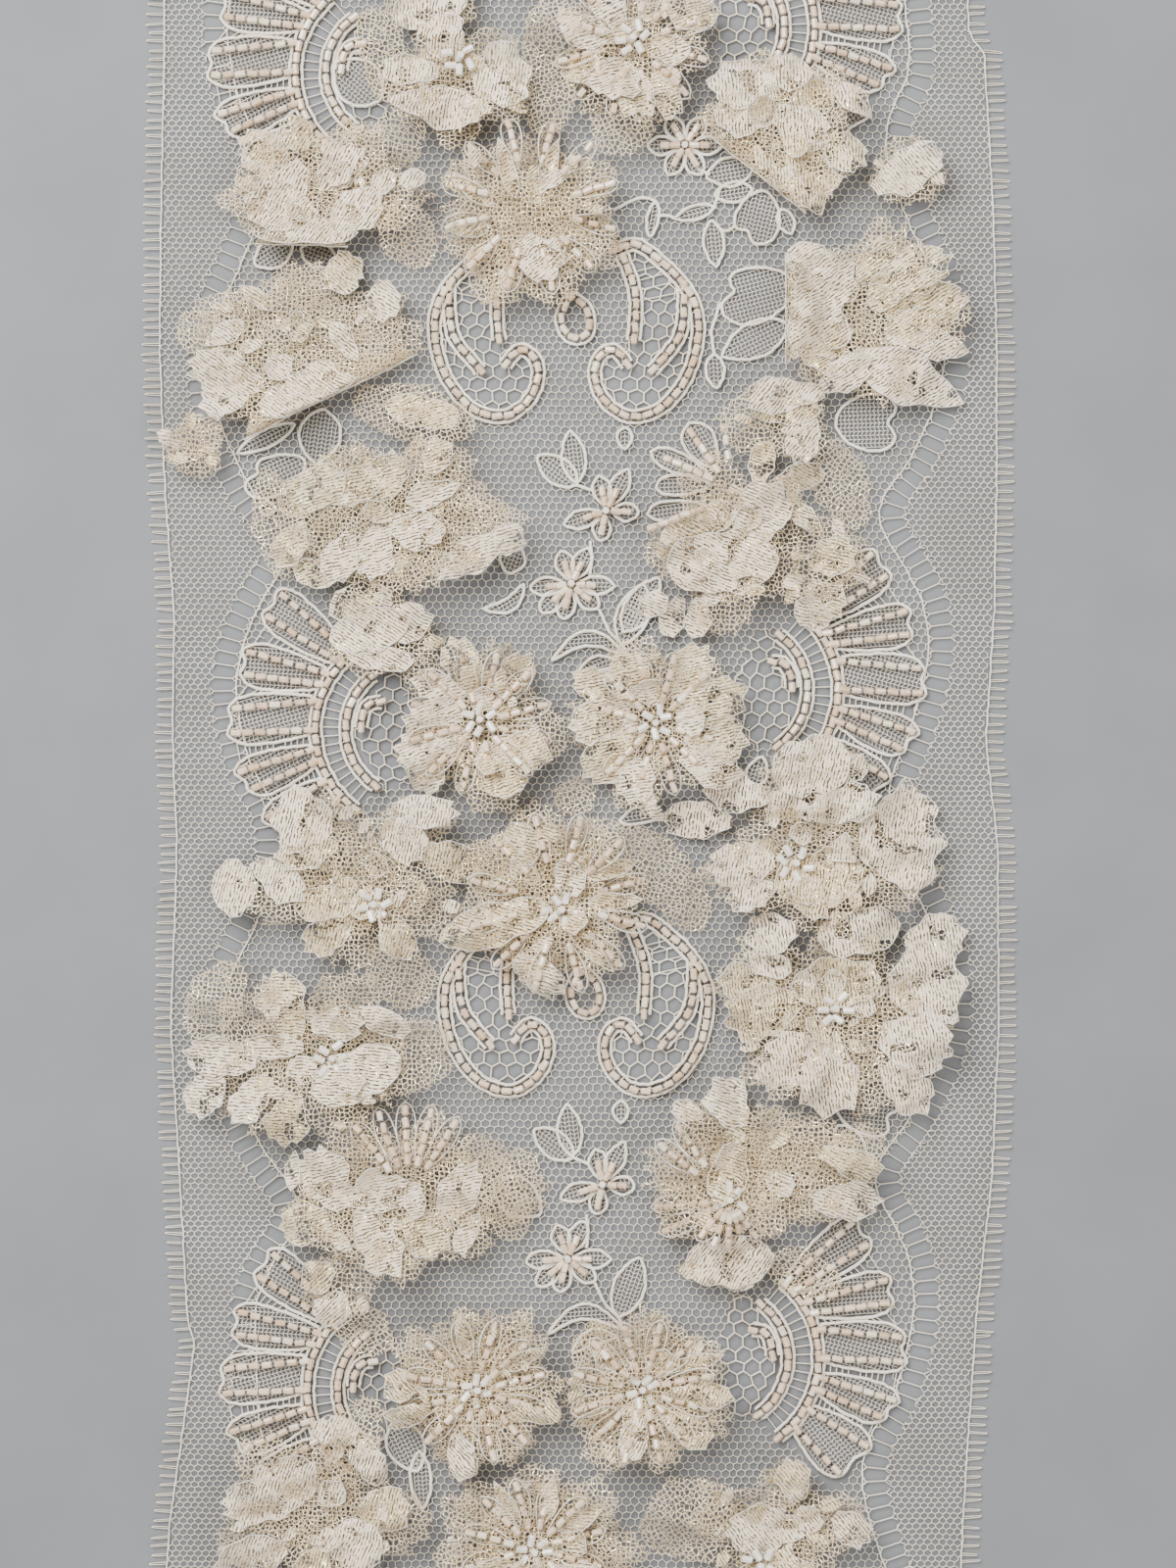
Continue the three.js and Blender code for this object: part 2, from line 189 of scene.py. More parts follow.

# %% [markdown]
# A piece is one mesh object. Its points, faces, map and tones are written from the arrays in a few calls,
# because a loop over single points would be slow. Each finished piece is then hung under the root body.

# %% Pieces
def new_piece(name, bits, finishes):
    """One joined mesh object from gathered bits."""
    points = np.concatenate(bits.points) * MM
    faces = np.concatenate(bits.faces)
    mesh = bpy.data.meshes.new(name)
    mesh.vertices.add(len(points))
    mesh.vertices.foreach_set("co", points.astype(np.float32).ravel())
    mesh.loops.add(faces.size)
    mesh.loops.foreach_set("vertex_index", faces.ravel().astype(np.int32))
    mesh.polygons.add(len(faces))
    mesh.polygons.foreach_set("loop_start", np.arange(0, faces.size, 4, dtype=np.int32))
    mesh.polygons.foreach_set("material_index", np.concatenate(bits.finishes).astype(np.int32))
    weave = mesh.uv_layers.new(name="weave")
    weave.data.foreach_set("uv", np.concatenate(bits.weave)[faces.ravel()].astype(np.float32).ravel())
    tone = mesh.attributes.new("tone", "FLOAT", "POINT")
    tone.data.foreach_set("value", np.concatenate(bits.tones).astype(np.float32))
    for finish in finishes:
        mesh.materials.append(finish)
    mesh.update(calc_edges=True)
    mesh.shade_smooth()
    piece = bpy.data.objects.new(name, mesh)
    scene.collection.objects.link(piece)
    return piece


def settle(piece, slot, *nodes):
    """Gives a finished piece its body, and hides the solids that it stands for. Its slot is not used."""
    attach(piece, "root")
    if nodes:
        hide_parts(*nodes)
    piece.data.calc_loop_triangles()
    print(piece.name, len(piece.data.loop_triangles), "triangles")


print("what a piece is made from:", list(vars(Bits())))

# %% [markdown]
# ## Finishes
#
# A finish is a small tree of nodes that is worked out at every point of a surface. The same few steps come
# back in all of them, so short helpers add a node, mix two colours, calculate, draw noise and stretch a
# range of numbers. Node groups hold what several finishes share.

# %% Node helpers
COLOUR, NUMBER, VECTOR = "NodeSocketColor", "NodeSocketFloat", "NodeSocketVector"
MIX_A, MIX_B, MIX_RESULT = 6, 7, 2  # sockets of the mix node, for colours
MIX_FIRST, MIX_SECOND = 2, 3  # and for numbers


def add_node(tree, kind, inputs=None, **settings):
    """Adds a node, sets its properties, and sets or links its inputs."""
    node = tree.nodes.new(kind)
    for name, value in settings.items():
        setattr(node, name, value)
    for name, value in (inputs or {}).items():
        if isinstance(value, bpy.types.NodeSocket):
            tree.links.new(value, node.inputs[name])
        else:
            node.inputs[name].default_value = value
    return node


def output(tree, kind, inputs=None, **settings):
    """The first output of a new node."""
    return add_node(tree, kind, inputs, **settings).outputs[0]


def feed(node, label, value):
    node.id_data.links.new(value, node.inputs[label])


def mix_colours(tree, share, first, second, **settings):
    inputs = {0: share, MIX_A: first, MIX_B: second}
    return add_node(tree, "ShaderNodeMix", inputs, data_type="RGBA", **settings).outputs[MIX_RESULT]


def calculate(tree, operation, first, second):
    return output(tree, "ShaderNodeMath", {0: first, 1: second}, operation=operation)


def noise(tree, place, scale, detail=2.0, **settings):
    inputs = {"Vector": place, "Scale": scale, "Detail": detail}
    return output(tree, "ShaderNodeTexNoise", inputs, **settings)


def stretch(tree, value, low, high, to_low=0.0, to_high=1.0):
    """Takes low to to_low and high to to_high, and goes no further."""
    inputs = {0: value, 1: low, 2: high, 3: to_low, 4: to_high}
    return output(tree, "ShaderNodeMapRange", inputs)


def new_group(name, inputs, outputs, kind="ShaderNodeTree"):
    """An empty node group with named sockets, and its input and output nodes."""
    tree = bpy.data.node_groups.new(name, kind)
    for in_out, sockets in (("INPUT", inputs), ("OUTPUT", outputs)):
        for label, socket_type in sockets.items():
            tree.interface.new_socket(name=label, in_out=in_out, socket_type=socket_type)
    return tree, tree.nodes.new("NodeGroupInput"), tree.nodes.new("NodeGroupOutput")


print("kinds of sockets:", COLOUR, NUMBER, VECTOR)

# %% [markdown]
# Real lace is never one even colour. Uneven ivory mixes two shades over broad patches and adds a fine fibre
# relief. Woven rows draws the wavy close lines of the weave on the petals, from the map that each petal
# carries in millimetres. Along each gap between two rows there are stretches where the rows close up.

# %% Two groups: uneven ivory and woven rows
PATCH_EDGES = (0.36, 0.64)  # noise up to the first is all shade, from the second on all light
ROW_BENDS = [(0.3, 1.0), (0.9, 0.35)]  # bends per mm, and their share of the waviness
CREST = 0.25  # a row is highest a quarter of a wave on
ROW_SHIFT = 7.3  # takes each gap to another place in the noise
DASHES_PER_MM = 0.8
DASH_EDGES = (0.47, 0.6)
GAP_FLOORS = (-0.9, -2.8)  # of an open gap, and of one where the rows close up
ROW_TOP = 0.1


def uneven_ivory_group():
    inputs = {"Light": COLOUR, "Shade": COLOUR, "Patch scale": NUMBER, "Fibre scale": NUMBER}
    tree, given, result = new_group("uneven_ivory", inputs, {"Color": COLOUR, "Relief": NUMBER})
    place = add_node(tree, "ShaderNodeTexCoord").outputs["Object"]
    share = stretch(tree, noise(tree, place, given.outputs["Patch scale"], 3.0), *PATCH_EDGES)
    feed(result, "Color", mix_colours(tree, share, given.outputs["Shade"], given.outputs["Light"]))
    feed(result, "Relief", noise(tree, place, given.outputs["Fibre scale"], 1.0))
    return tree


def woven_rows_group():
    inputs = {"Map": VECTOR, "Rows per mm": NUMBER, "Waviness": NUMBER}
    tree, given, result = new_group("woven_rows", inputs, {"Thread": NUMBER})
    across, along, _ = add_node(tree, "ShaderNodeSeparateXYZ", {0: given.outputs["Map"]}).outputs
    place = calculate(tree, "MULTIPLY", across, given.outputs["Rows per mm"])
    for bends_per_mm, share in ROW_BENDS:
        bend = noise(tree, given.outputs["Map"], bends_per_mm, 1.0)
        bent = calculate(tree, "MULTIPLY", bend, given.outputs["Waviness"])
        place = calculate(tree, "ADD", place, calculate(tree, "MULTIPLY", bent, share))
    wave = calculate(tree, "SINE", calculate(tree, "MULTIPLY", place, FULL_TURN), 0.0)
    gap = calculate(tree, "FLOOR", calculate(tree, "SUBTRACT", place, CREST), 0.0)
    shifted = calculate(tree, "MULTIPLY", gap, ROW_SHIFT)
    spot = output(tree, "ShaderNodeCombineXYZ", {0: shifted, 1: along})
    dashes = noise(tree, spot, DASHES_PER_MM, noise_dimensions="2D")
    floors = stretch(tree, dashes, *DASH_EDGES, *GAP_FLOORS)
    feed(result, "Thread", stretch(tree, wave, floors, ROW_TOP))
    return tree


uneven_ivory = uneven_ivory_group()
woven_rows = woven_rows_group()
print("groups:", uneven_ivory.name, woven_rows.name)

# %% [markdown]
# Thread, cord and weave are dull, with a soft sheen along their fibres. They could be three materials made
# by hand, but they differ only in their shades and in the size of the patches and fibres, so one function
# makes all three.

# %% Thread and cord finishes
def new_finish(name, **constants):
    """A material with plain values on its shader, ready for patterns."""
    material = bpy.data.materials.new(name)
    material.use_nodes = True
    shader = material.node_tree.nodes["Principled BSDF"]
    for label, value in constants.items():
        shader.inputs[label.replace("_", " ")].default_value = value
    return material, material.node_tree, shader


def add_ivory(tree, light, shade, patch_scale, fibre_scale):
    inputs = {"Light": light, "Shade": shade, "Patch scale": patch_scale, "Fibre scale": fibre_scale}
    return add_node(tree, "ShaderNodeGroup", inputs, node_tree=uneven_ivory)


def add_relief(tree, shader, height, distance):
    feed(shader, "Normal", output(tree, "ShaderNodeBump", {"Height": height, "Distance": distance}))


def thread_finish(name, light, shade, patch_scale, fibre_scale, relief):
    material, tree, shader = new_finish(name, Roughness=0.78, Sheen_Weight=0.25, Sheen_Roughness=0.4)
    ivory = add_ivory(tree, light, shade, patch_scale, fibre_scale)
    feed(shader, "Base Color", ivory.outputs["Color"])
    add_relief(tree, shader, ivory.outputs["Relief"], relief)
    return material


net_thread = thread_finish(
    "net_thread", (0.94, 0.88, 0.77, 1), (0.84, 0.75, 0.61, 1),
    patch_scale=60, fibre_scale=3500, relief=0.0001,
)
white_cord = thread_finish(
    "white_cord", (0.95, 0.91, 0.83, 1), (0.86, 0.79, 0.67, 1),
    patch_scale=150, fibre_scale=2200, relief=0.0003,
)
weave_thread = thread_finish(
    "weave_thread", (0.86, 0.80, 0.70, 1), (0.74, 0.67, 0.56, 1),
    patch_scale=90, fibre_scale=3500, relief=0.0001,
)
print("thread finishes:", net_thread.name, white_cord.name, weave_thread.name)

# %% [markdown]
# The lace of the sewn flowers holds a fine net, and some of its threads are wound with gold foil. Modelling
# each hole and each glint would take millions of faces. So the net is drawn in the finish, as the edges of
# uneven cells, and a few small cells of another pattern are metallic.

# %% Patterns of the flower lace
GOLD = (0.95, 0.83, 0.52, 1)
VEIL_CELLS_PER_MM = 0.88
VEIL_UNEVENNESS = 0.8


def read_map(tree):
    return add_node(tree, "ShaderNodeUVMap", uv_map="weave").outputs["UV"]


def read_tone(tree):
    return add_node(tree, "ShaderNodeAttribute", attribute_name="tone").outputs["Fac"]


def net_edges(tree, woven_map):
    """How far each place is from the nearest thread of a fine uneven net."""
    cells = {"Vector": woven_map, "Scale": VEIL_CELLS_PER_MM, "Randomness": VEIL_UNEVENNESS}
    kind = {"voronoi_dimensions": "2D", "feature": "DISTANCE_TO_EDGE"}
    return add_node(tree, "ShaderNodeTexVoronoi", cells, **kind).outputs["Distance"]


def add_foil(tree, shader, woven_map, colour, cells_per_mm, rarity, metallic, roughness, smoothing):
    """Small cells of which only a few count. Each of those is a glint of foil, smoother than the rest."""
    cells = add_node(tree, "ShaderNodeTexVoronoi", {"Vector": woven_map, "Scale": cells_per_mm})
    chance = output(tree, "ShaderNodeSeparateColor", {0: cells.outputs["Color"]})
    glint = calculate(tree, "GREATER_THAN", chance, rarity)
    feed(shader, "Base Color", mix_colours(tree, glint, colour, GOLD))
    feed(shader, "Metallic", calculate(tree, "MULTIPLY", glint, metallic))
    smoother = calculate(tree, "MULTIPLY", glint, -smoothing)
    feed(shader, "Roughness", calculate(tree, "ADD", smoother, roughness))


print("net cells in a mm:", VEIL_CELLS_PER_MM)

# %% [markdown]
# A petal is woven in close rows with gaps between them, and has eyelets of that net. A veil is net alone.
# Both finishes leave the gaps and holes clear by their alpha, so that what lies below shows through. In a
# petal the rows fade to a dark painted shade at the gaps.

# %% Petal and veil finishes
# pale thread colour: partly random pale threads, partly a painted highlight on shiny threads
THREAD_TONE_AND_HIGHLIGHT = (1, 0.93, 0.80, 1)
VEIL_LIGHT = (0.82, 0.68, 0.48, 1)
VEIL_SHADE = (0.70, 0.55, 0.35, 1)
VEIL_THREAD_SHARE = 0.105  # of a cell, counted from its edge
VEIL_RELIEF = -0.0004  # below zero, because the distance to an edge grows toward the hole
ROWS_PER_MM = 1.3
ROW_WAVINESS = 1.7
TONE_AND_HIGHLIGHT_SPECKS_PER_MM = 2.4
TONE_AND_HIGHLIGHT_SPECK_EDGES = (0.5, 0.7)
GAP_EDGES = (0.0, 0.5)
GAP_ALPHA = 0.06
EYELETS_PER_MM = 0.19
LUMPS_PER_MM = 1.3
WOVEN_RELIEF = 0.00016


def petal_finish(name, light, shade, gap, gold_rarity, lumpiness, eyelet_limit):
    """Close woven rows with open gaps between them, eyelets of net, and a few glints of gold foil."""
    material, tree, shader = new_finish(name, Base_Color=light, Sheen_Weight=0.3, Sheen_Roughness=0.35)
    woven_map = read_map(tree)
    weave = {"Map": woven_map, "Rows per mm": ROWS_PER_MM, "Waviness": ROW_WAVINESS}
    rows = output(tree, "ShaderNodeGroup", weave, node_tree=woven_rows)
    ivory = add_ivory(tree, light, shade, patch_scale=160, fibre_scale=2600)
    faded = mix_colours(tree, read_tone(tree), ivory.outputs["Color"], shade)
    # pale specks along the rows: partly a random paler tone of some threads, partly painted highlight
    tone_and_highlight_specks = stretch(tree, noise(tree, woven_map, TONE_AND_HIGHLIGHT_SPECKS_PER_MM), *TONE_AND_HIGHLIGHT_SPECK_EDGES)
    # the gap colour is painted shade: the rows fade to a dark brown in the gaps between them
    woven = mix_colours(tree, rows, gap, mix_colours(tree, tone_and_highlight_specks, faded, THREAD_TONE_AND_HIGHLIGHT))
    solid = stretch(tree, rows, *GAP_EDGES, GAP_ALPHA, 1.0)
    eyelets = calculate(tree, "GREATER_THAN", noise(tree, woven_map, EYELETS_PER_MM, 1.0), eyelet_limit)
    threads = calculate(tree, "LESS_THAN", net_edges(tree, woven_map), VEIL_THREAD_SHARE)
    alpha = {0: eyelets, MIX_FIRST: solid, MIX_SECOND: threads}
    feed(shader, "Alpha", output(tree, "ShaderNodeMix", alpha))
    glints = {"cells_per_mm": 1.9, "rarity": gold_rarity, "metallic": 0.85}
    add_foil(tree, shader, woven_map, woven, **glints, roughness=0.7, smoothing=0.4)
    lumps = calculate(tree, "MULTIPLY", noise(tree, woven_map, LUMPS_PER_MM), lumpiness)
    add_relief(tree, shader, calculate(tree, "ADD", rows, lumps), WOVEN_RELIEF)
    return material


def veil_finish(name):
    """Fine net of which only the threads are solid. Short stretches of them are wound with gold foil."""
    material, tree, shader = new_finish(name, Base_Color=VEIL_LIGHT, Sheen_Weight=0.2)
    woven_map = read_map(tree)
    edges = net_edges(tree, woven_map)
    feed(shader, "Alpha", calculate(tree, "LESS_THAN", edges, VEIL_THREAD_SHARE))
    colour = add_ivory(tree, VEIL_LIGHT, VEIL_SHADE, patch_scale=110, fibre_scale=3000).outputs["Color"]
    glints = {"cells_per_mm": 1.6, "rarity": 0.86, "metallic": 0.9}
    add_foil(tree, shader, woven_map, colour, **glints, roughness=0.72, smoothing=0.45)
    add_relief(tree, shader, edges, VEIL_RELIEF)
    return material


# the gap colour of each petal finish is painted shade between its woven rows
satin_petal = petal_finish(
    "satin_petal", (0.93, 0.82, 0.66, 1), (0.84, 0.71, 0.54, 1), gap=(0.28, 0.20, 0.12, 1),
    gold_rarity=0.99, lumpiness=0.5, eyelet_limit=0.61,
)
gold_petal = petal_finish(
    "gold_petal", (0.90, 0.79, 0.57, 1), (0.78, 0.63, 0.40, 1), gap=(0.28, 0.19, 0.10, 1),
    gold_rarity=0.86, lumpiness=4.0, eyelet_limit=0.57,
)
gold_veil = veil_finish("gold_veil")
print("flower finishes:", satin_petal.name, gold_petal.name, gold_veil.name)

# %% [markdown]
# The beads are glass with a soft lustre under a thin clear coat. In one string some are paler and some nearly
# brown. So each bead carries a tone, a number from 0 to 1, and a ramp turns it into a colour.

# %% Bead finishes
BLUSH_STOPS = [  # place on the ramp, colour
    (0.0, (0.90, 0.78, 0.62, 1)),
    (0.4, (0.86, 0.69, 0.54, 1)),
    (0.75, (0.76, 0.57, 0.40, 1)),
    (0.95, (0.95, 0.87, 0.70, 1)),
]
WHITE_STOPS = [(0.0, (0.90, 0.85, 0.76, 1)), (1.0, (0.95, 0.92, 0.86, 1))]
CLEAR, CLOUDED = (1, 1, 1, 1), (0.86, 0.84, 0.82, 1)
CLOUD_ROUGHNESS = 0.3
BEAD_RELIEF = 0.00008


def bead_finish(name, stops, roughness):
    """Glass with a soft lustre. Each bead's tone picks its place between the colours of the stops."""
    material, tree, shader = new_finish(name, Coat_Weight=0.8, Coat_Roughness=0.08, IOR=1.5)
    ramp = add_node(tree, "ShaderNodeValToRGB", {0: read_tone(tree)})
    for stop, (place, colour) in enumerate(stops):
        while len(ramp.color_ramp.elements) <= stop:
            ramp.color_ramp.elements.new(1)
        ramp.color_ramp.elements[stop].position = place
        ramp.color_ramp.elements[stop].color = colour
    clouds = add_ivory(tree, CLEAR, CLOUDED, patch_scale=900, fibre_scale=2500)
    tinted = mix_colours(tree, 1.0, ramp.outputs[0], clouds.outputs["Color"], blend_type="MULTIPLY")
    feed(shader, "Base Color", tinted)
    cloudy = calculate(tree, "MULTIPLY", clouds.outputs["Relief"], CLOUD_ROUGHNESS)
    feed(shader, "Roughness", calculate(tree, "ADD", cloudy, roughness))
    add_relief(tree, shader, clouds.outputs["Relief"], BEAD_RELIEF)
    return material


blush_bead = bead_finish("blush_bead", BLUSH_STOPS, roughness=0.14)
white_bead = bead_finish("white_bead", WHITE_STOPS, roughness=0.12)
print("bead finishes:", blush_bead.name, white_bead.name)

# %% [markdown]
# ## Floor
#
# A plain grey surface, darker than the lace, so that the thread stands out on it. It is one square face, and
# it belongs to the stage, not to the lace.

# %% Floor
FLOOR_HALF = 1.5
FLOOR_LIGHT = (0.25, 0.255, 0.265, 1)
FLOOR_SHADE = (0.235, 0.24, 0.25, 1)

floor_mesh = bpy.data.meshes.new("floor")
corners = [(x * FLOOR_HALF, y * FLOOR_HALF, 0) for x, y in ((-1, -1), (1, -1), (1, 1), (-1, 1))]
floor_mesh.from_pydata(corners, [], [(0, 1, 2, 3)])
floor_mesh.materials.append(thread_finish(
    "floor_finish", FLOOR_LIGHT, FLOOR_SHADE, patch_scale=30, fibre_scale=900, relief=0.00002
))
floor = bpy.data.objects.new("floor", floor_mesh)
scene.collection.objects.link(floor)
floor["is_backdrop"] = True
print("floor half width in metres:", FLOOR_HALF)

# %% [markdown]
# ## Repeating things with Geometry Nodes
#
# Beads on a string, a cord on an outline and loose thread ends all repeat one shape along a line. A loop in
# Python could copy them, but a tree of nodes is quicker and can be tried out by hand. Each tree ends in
# Realize Instances and Set Material. What the trees share comes first.

# %% Steps that the trees share
GEOMETRY, OBJECT = "NodeSocketGeometry", "NodeSocketObject"
WHOLE, MATERIAL = "NodeSocketInt", "NodeSocketMaterial"
RANDOM_VECTOR_MIN, RANDOM_VECTOR_MAX = 0, 1  # sockets of the random value node
RANDOM_MIN, RANDOM_MAX, RANDOM_SEED, RANDOM_NUMBER = 2, 3, 8, 1
COPY_INPUTS = {"Shape": OBJECT, "Unevenness": NUMBER, "Tilt": NUMBER, "Seed": WHOLE}


def new_tree(name, inputs):
    inputs = {"Lines": GEOMETRY, **inputs, "Finish": MATERIAL}
    tree, given, result = new_group(name, inputs, {"Geometry": GEOMETRY}, "GeometryNodeTree")
    return tree, given.outputs, result


def end_tree(tree, given, result, geometry):
    real = output(tree, "GeometryNodeRealizeInstances", {"Geometry": geometry})
    done = {"Geometry": real, "Material": given["Finish"]}
    feed(result, "Geometry", output(tree, "GeometryNodeSetMaterial", done))
    return tree


def random_vector(tree, least, most, seed):
    inputs = {RANDOM_VECTOR_MIN: least, RANDOM_VECTOR_MAX: most, RANDOM_SEED: seed}
    return output(tree, "FunctionNodeRandomValue", inputs, data_type="FLOAT_VECTOR")


def place_copies(tree, given, points, direction):
    """Puts a turned and slightly uneven copy of the shape on each point, with a tone of its own."""
    seed = given["Seed"]
    shape = add_node(tree, "GeometryNodeObjectInfo", {"Object": given["Shape"], "As Instance": True})
    ahead = output(tree, "FunctionNodeAlignRotationToVector", {"Vector": direction}, axis="X")
    angles = random_vector(tree, calculate(tree, "MULTIPLY", given["Tilt"], -1.0), given["Tilt"], seed)
    lean = output(tree, "FunctionNodeEulerToRotation", {0: angles})
    least = calculate(tree, "SUBTRACT", 1.0, given["Unevenness"])
    most = calculate(tree, "ADD", 1.0, given["Unevenness"])
    copies = output(tree, "GeometryNodeInstanceOnPoints", {
        "Points": points,
        "Instance": shape.outputs["Geometry"],
        "Rotation": output(tree, "FunctionNodeRotateRotation", {0: ahead, 1: lean}, rotation_space="LOCAL"),
        "Scale": random_vector(tree, least, most, seed),
    })
    chance = add_node(tree, "FunctionNodeRandomValue", {RANDOM_MIN: 0.0, RANDOM_MAX: 1.0, RANDOM_SEED: seed})
    tone = {"Geometry": copies, "Name": "tone", "Value": chance.outputs[RANDOM_NUMBER]}
    return output(tree, "GeometryNodeStoreNamedAttribute", tone, domain="INSTANCE")


def even_curves(tree, given, step):
    curves = output(tree, "GeometryNodeMeshToCurve", {"Mesh": given["Lines"]})
    return output(tree, "GeometryNodeResampleCurve", {"Curve": curves, "Length": given[step]}, mode="LENGTH")


print("inputs of a copied shape:", list(COPY_INPUTS))

# %% [markdown]
# One tree spaces beads evenly along lines. Another puts a shape on points that hold their own heading. The
# third sweeps a ring along lines, and noise bends and swells the result a little, as a soft cord does.

# %% The three trees
CORD_BENDS_PER_M = 700.0
CORD_SWELLS_PER_M = 430.0
NOISE_MIDDLE = (0.5, 0.5, 0.5)
SWELL_EDGES = (0.3, 0.7)
SWELL_SIZES = (0.6, 1.45)  # of the cord's own radius


def string_tree():
    tree, given, result = new_tree("beads_on_strings", {**COPY_INPUTS, "Spacing": NUMBER})
    spaced = even_curves(tree, given, "Spacing")
    direction = output(tree, "GeometryNodeInputTangent")
    return end_tree(tree, given, result, place_copies(tree, given, spaced, direction))


def headed_tree():
    tree, given, result = new_tree("shapes_on_points", COPY_INPUTS)
    heading = output(tree, "GeometryNodeInputNamedAttribute", {"Name": "heading"}, data_type="FLOAT_VECTOR")
    return end_tree(tree, given, result, place_copies(tree, given, given["Lines"], heading))


def cord_tree():
    sizes = {"Thickness": NUMBER, "Step": NUMBER, "Wander": NUMBER, "Sides": WHOLE}
    tree, given, result = new_tree("cords_on_lines", sizes)
    bends = add_node(tree, "ShaderNodeTexNoise", {"Scale": CORD_BENDS_PER_M, "Detail": 1.0}).outputs["Color"]
    centred = output(tree, "ShaderNodeVectorMath", {0: bends, 1: NOISE_MIDDLE}, operation="SUBTRACT")
    moved = output(tree, "ShaderNodeVectorMath", {0: centred, "Scale": given["Wander"]}, operation="SCALE")
    even = even_curves(tree, given, "Step")
    loose = output(tree, "GeometryNodeSetPosition", {"Geometry": even, "Offset": moved})
    swells = output(tree, "ShaderNodeTexNoise", {"Scale": CORD_SWELLS_PER_M, "Detail": 1.0})
    fullness = stretch(tree, swells, *SWELL_EDGES, *SWELL_SIZES)
    uneven = output(tree, "GeometryNodeSetCurveRadius", {"Curve": loose, "Radius": fullness})
    radius = calculate(tree, "MULTIPLY", given["Thickness"], 0.5)
    ring = output(tree, "GeometryNodeCurvePrimitiveCircle", {"Resolution": given["Sides"], "Radius": radius})
    tube = {"Curve": uneven, "Profile Curve": ring, "Fill Caps": True}
    return end_tree(tree, given, result, output(tree, "GeometryNodeCurveToMesh", tube))


beads_on_strings = string_tree()
shapes_on_points = headed_tree()
cords_on_lines = cord_tree()
print("trees:", beads_on_strings.name, shapes_on_points.name, cords_on_lines.name)

# %% [markdown]
# A tree needs something to work on: a mesh of bare lines for strings and cords, or bare points that each hold
# a heading. A modifier runs the tree on it. The result is copied to a plain mesh, so that nothing is left to
# work out later and each piece can be counted and measured.

# %% Running a tree on lines or points
def new_object(name, points, edges=(), faces=()):
    """A mesh object from points in millimetres. It isn't in the scene yet."""
    mesh = bpy.data.meshes.new(name)
    mesh.from_pydata((np.asarray(points) * MM).tolist(), edges, faces)
    return bpy.data.objects.new(name, mesh)


def line_object(name, lines):
    """A mesh object that holds only lines, each given as points in millimetres."""
    ends = set(np.cumsum([len(line) for line in lines]) - 1)
    points = np.concatenate(lines)
    edges = [(number, number + 1) for number in range(len(points)) if number not in ends]
    return new_object(name, points, edges)


def point_object(name, places, headings):
    """A mesh object of bare points, in millimetres, that each hold a heading."""
    holder = new_object(name, places)
    heading = holder.data.attributes.new("heading", "FLOAT_VECTOR", "POINT")
    heading.data.foreach_set("vector", np.asarray(headings, np.float32).ravel())
    return holder


def grow(holder, tree, values, smooth=True):
    """Links an object to the scene, runs a tree on it and leaves the result there as a plain mesh."""
    scene.collection.objects.link(holder)
    modifier = holder.modifiers.new(tree.name, "NODES")
    modifier.node_group = tree
    for item in tree.interface.items_tree:
        if item.name in values:
            modifier[item.identifier] = values[item.name]
    evaluated = holder.evaluated_get(bpy.context.evaluated_depsgraph_get())
    mesh = bpy.data.meshes.new_from_object(evaluated)
    holder.modifiers.clear()
    holder.data = mesh
    if smooth:
        mesh.shade_smooth()
    return holder


print("inputs of the cord tree:", [item.name for item in cords_on_lines.interface.items_tree])

# %% [markdown]
# A bead is a short glass tube with seven cut faces and bevelled ends, half as long again as it is wide. A
# loose thread end is a narrow loop, cut where the band was parted from its neighbour. Both are made once
# from a few points. Only the trees use them, so they aren't put in the scene.

# %% The shapes that are repeated
BEAD_LENGTH = 2.4
BEAD_WIDTH = 1.55
BEAD_SIDES = 7
BEAD_BEVEL = 0.2
CLUSTER_BEAD_LENGTH = BEAD_LENGTH * 1.15
CLUSTER_BEAD_WIDTH = BEAD_WIDTH * 1.12
NET_THREAD_WIDTH = 0.28
THREAD_END_LENGTH = 4
THREAD_END_HALF = 0.23
THREAD_END_ROUTE = [  # back from the tip, share of the half width, up
    (THREAD_END_LENGTH, 1, 0), (0.6, 0.8, 0.1), (0.1, 0.4, 0), (0, 0, 0),
]


def bead_shape(name, length, width):
    half = length / 2
    radius = width / 2
    profile = [(-half, radius - BEAD_BEVEL), (BEAD_BEVEL - half, radius)]
    profile += [(-x, r) for x, r in reversed(profile)]
    turns = FULL_TURN * np.arange(BEAD_SIDES) / BEAD_SIDES
    points = [(x, r * math.cos(turn), r * math.sin(turn)) for x, r in profile for turn in turns]
    faces = []
    for low in range(0, len(points) - BEAD_SIDES, BEAD_SIDES):
        for side in range(BEAD_SIDES):
            after = (side + 1) % BEAD_SIDES
            faces.append((low + after, low + BEAD_SIDES + after, low + BEAD_SIDES + side, low + side))
    last = len(points) - BEAD_SIDES
    faces.append(tuple(reversed(range(BEAD_SIDES))))
    faces.append(tuple(range(last, last + BEAD_SIDES)))
    return new_object(name, points, faces=faces)


def thread_end_shape():
    route = [(THREAD_END_LENGTH - back, share * THREAD_END_HALF, up) for back, share, up in THREAD_END_ROUTE]
    route += [(x, -y, z) for x, y, z in reversed(route[:-1])]
    bits = Bits()
    add_line(bits, np.array(route, float), NET_THREAD_WIDTH)
    return new_object("thread_end", np.concatenate(bits.points), faces=np.concatenate(bits.faces).tolist())


short_bead = bead_shape("short_bead", BEAD_LENGTH, BEAD_WIDTH)
cluster_bead = bead_shape("cluster_bead", CLUSTER_BEAD_LENGTH, CLUSTER_BEAD_WIDTH)
thread_end = thread_end_shape()
print("shapes:", short_bead.name, cluster_bead.name, thread_end.name)

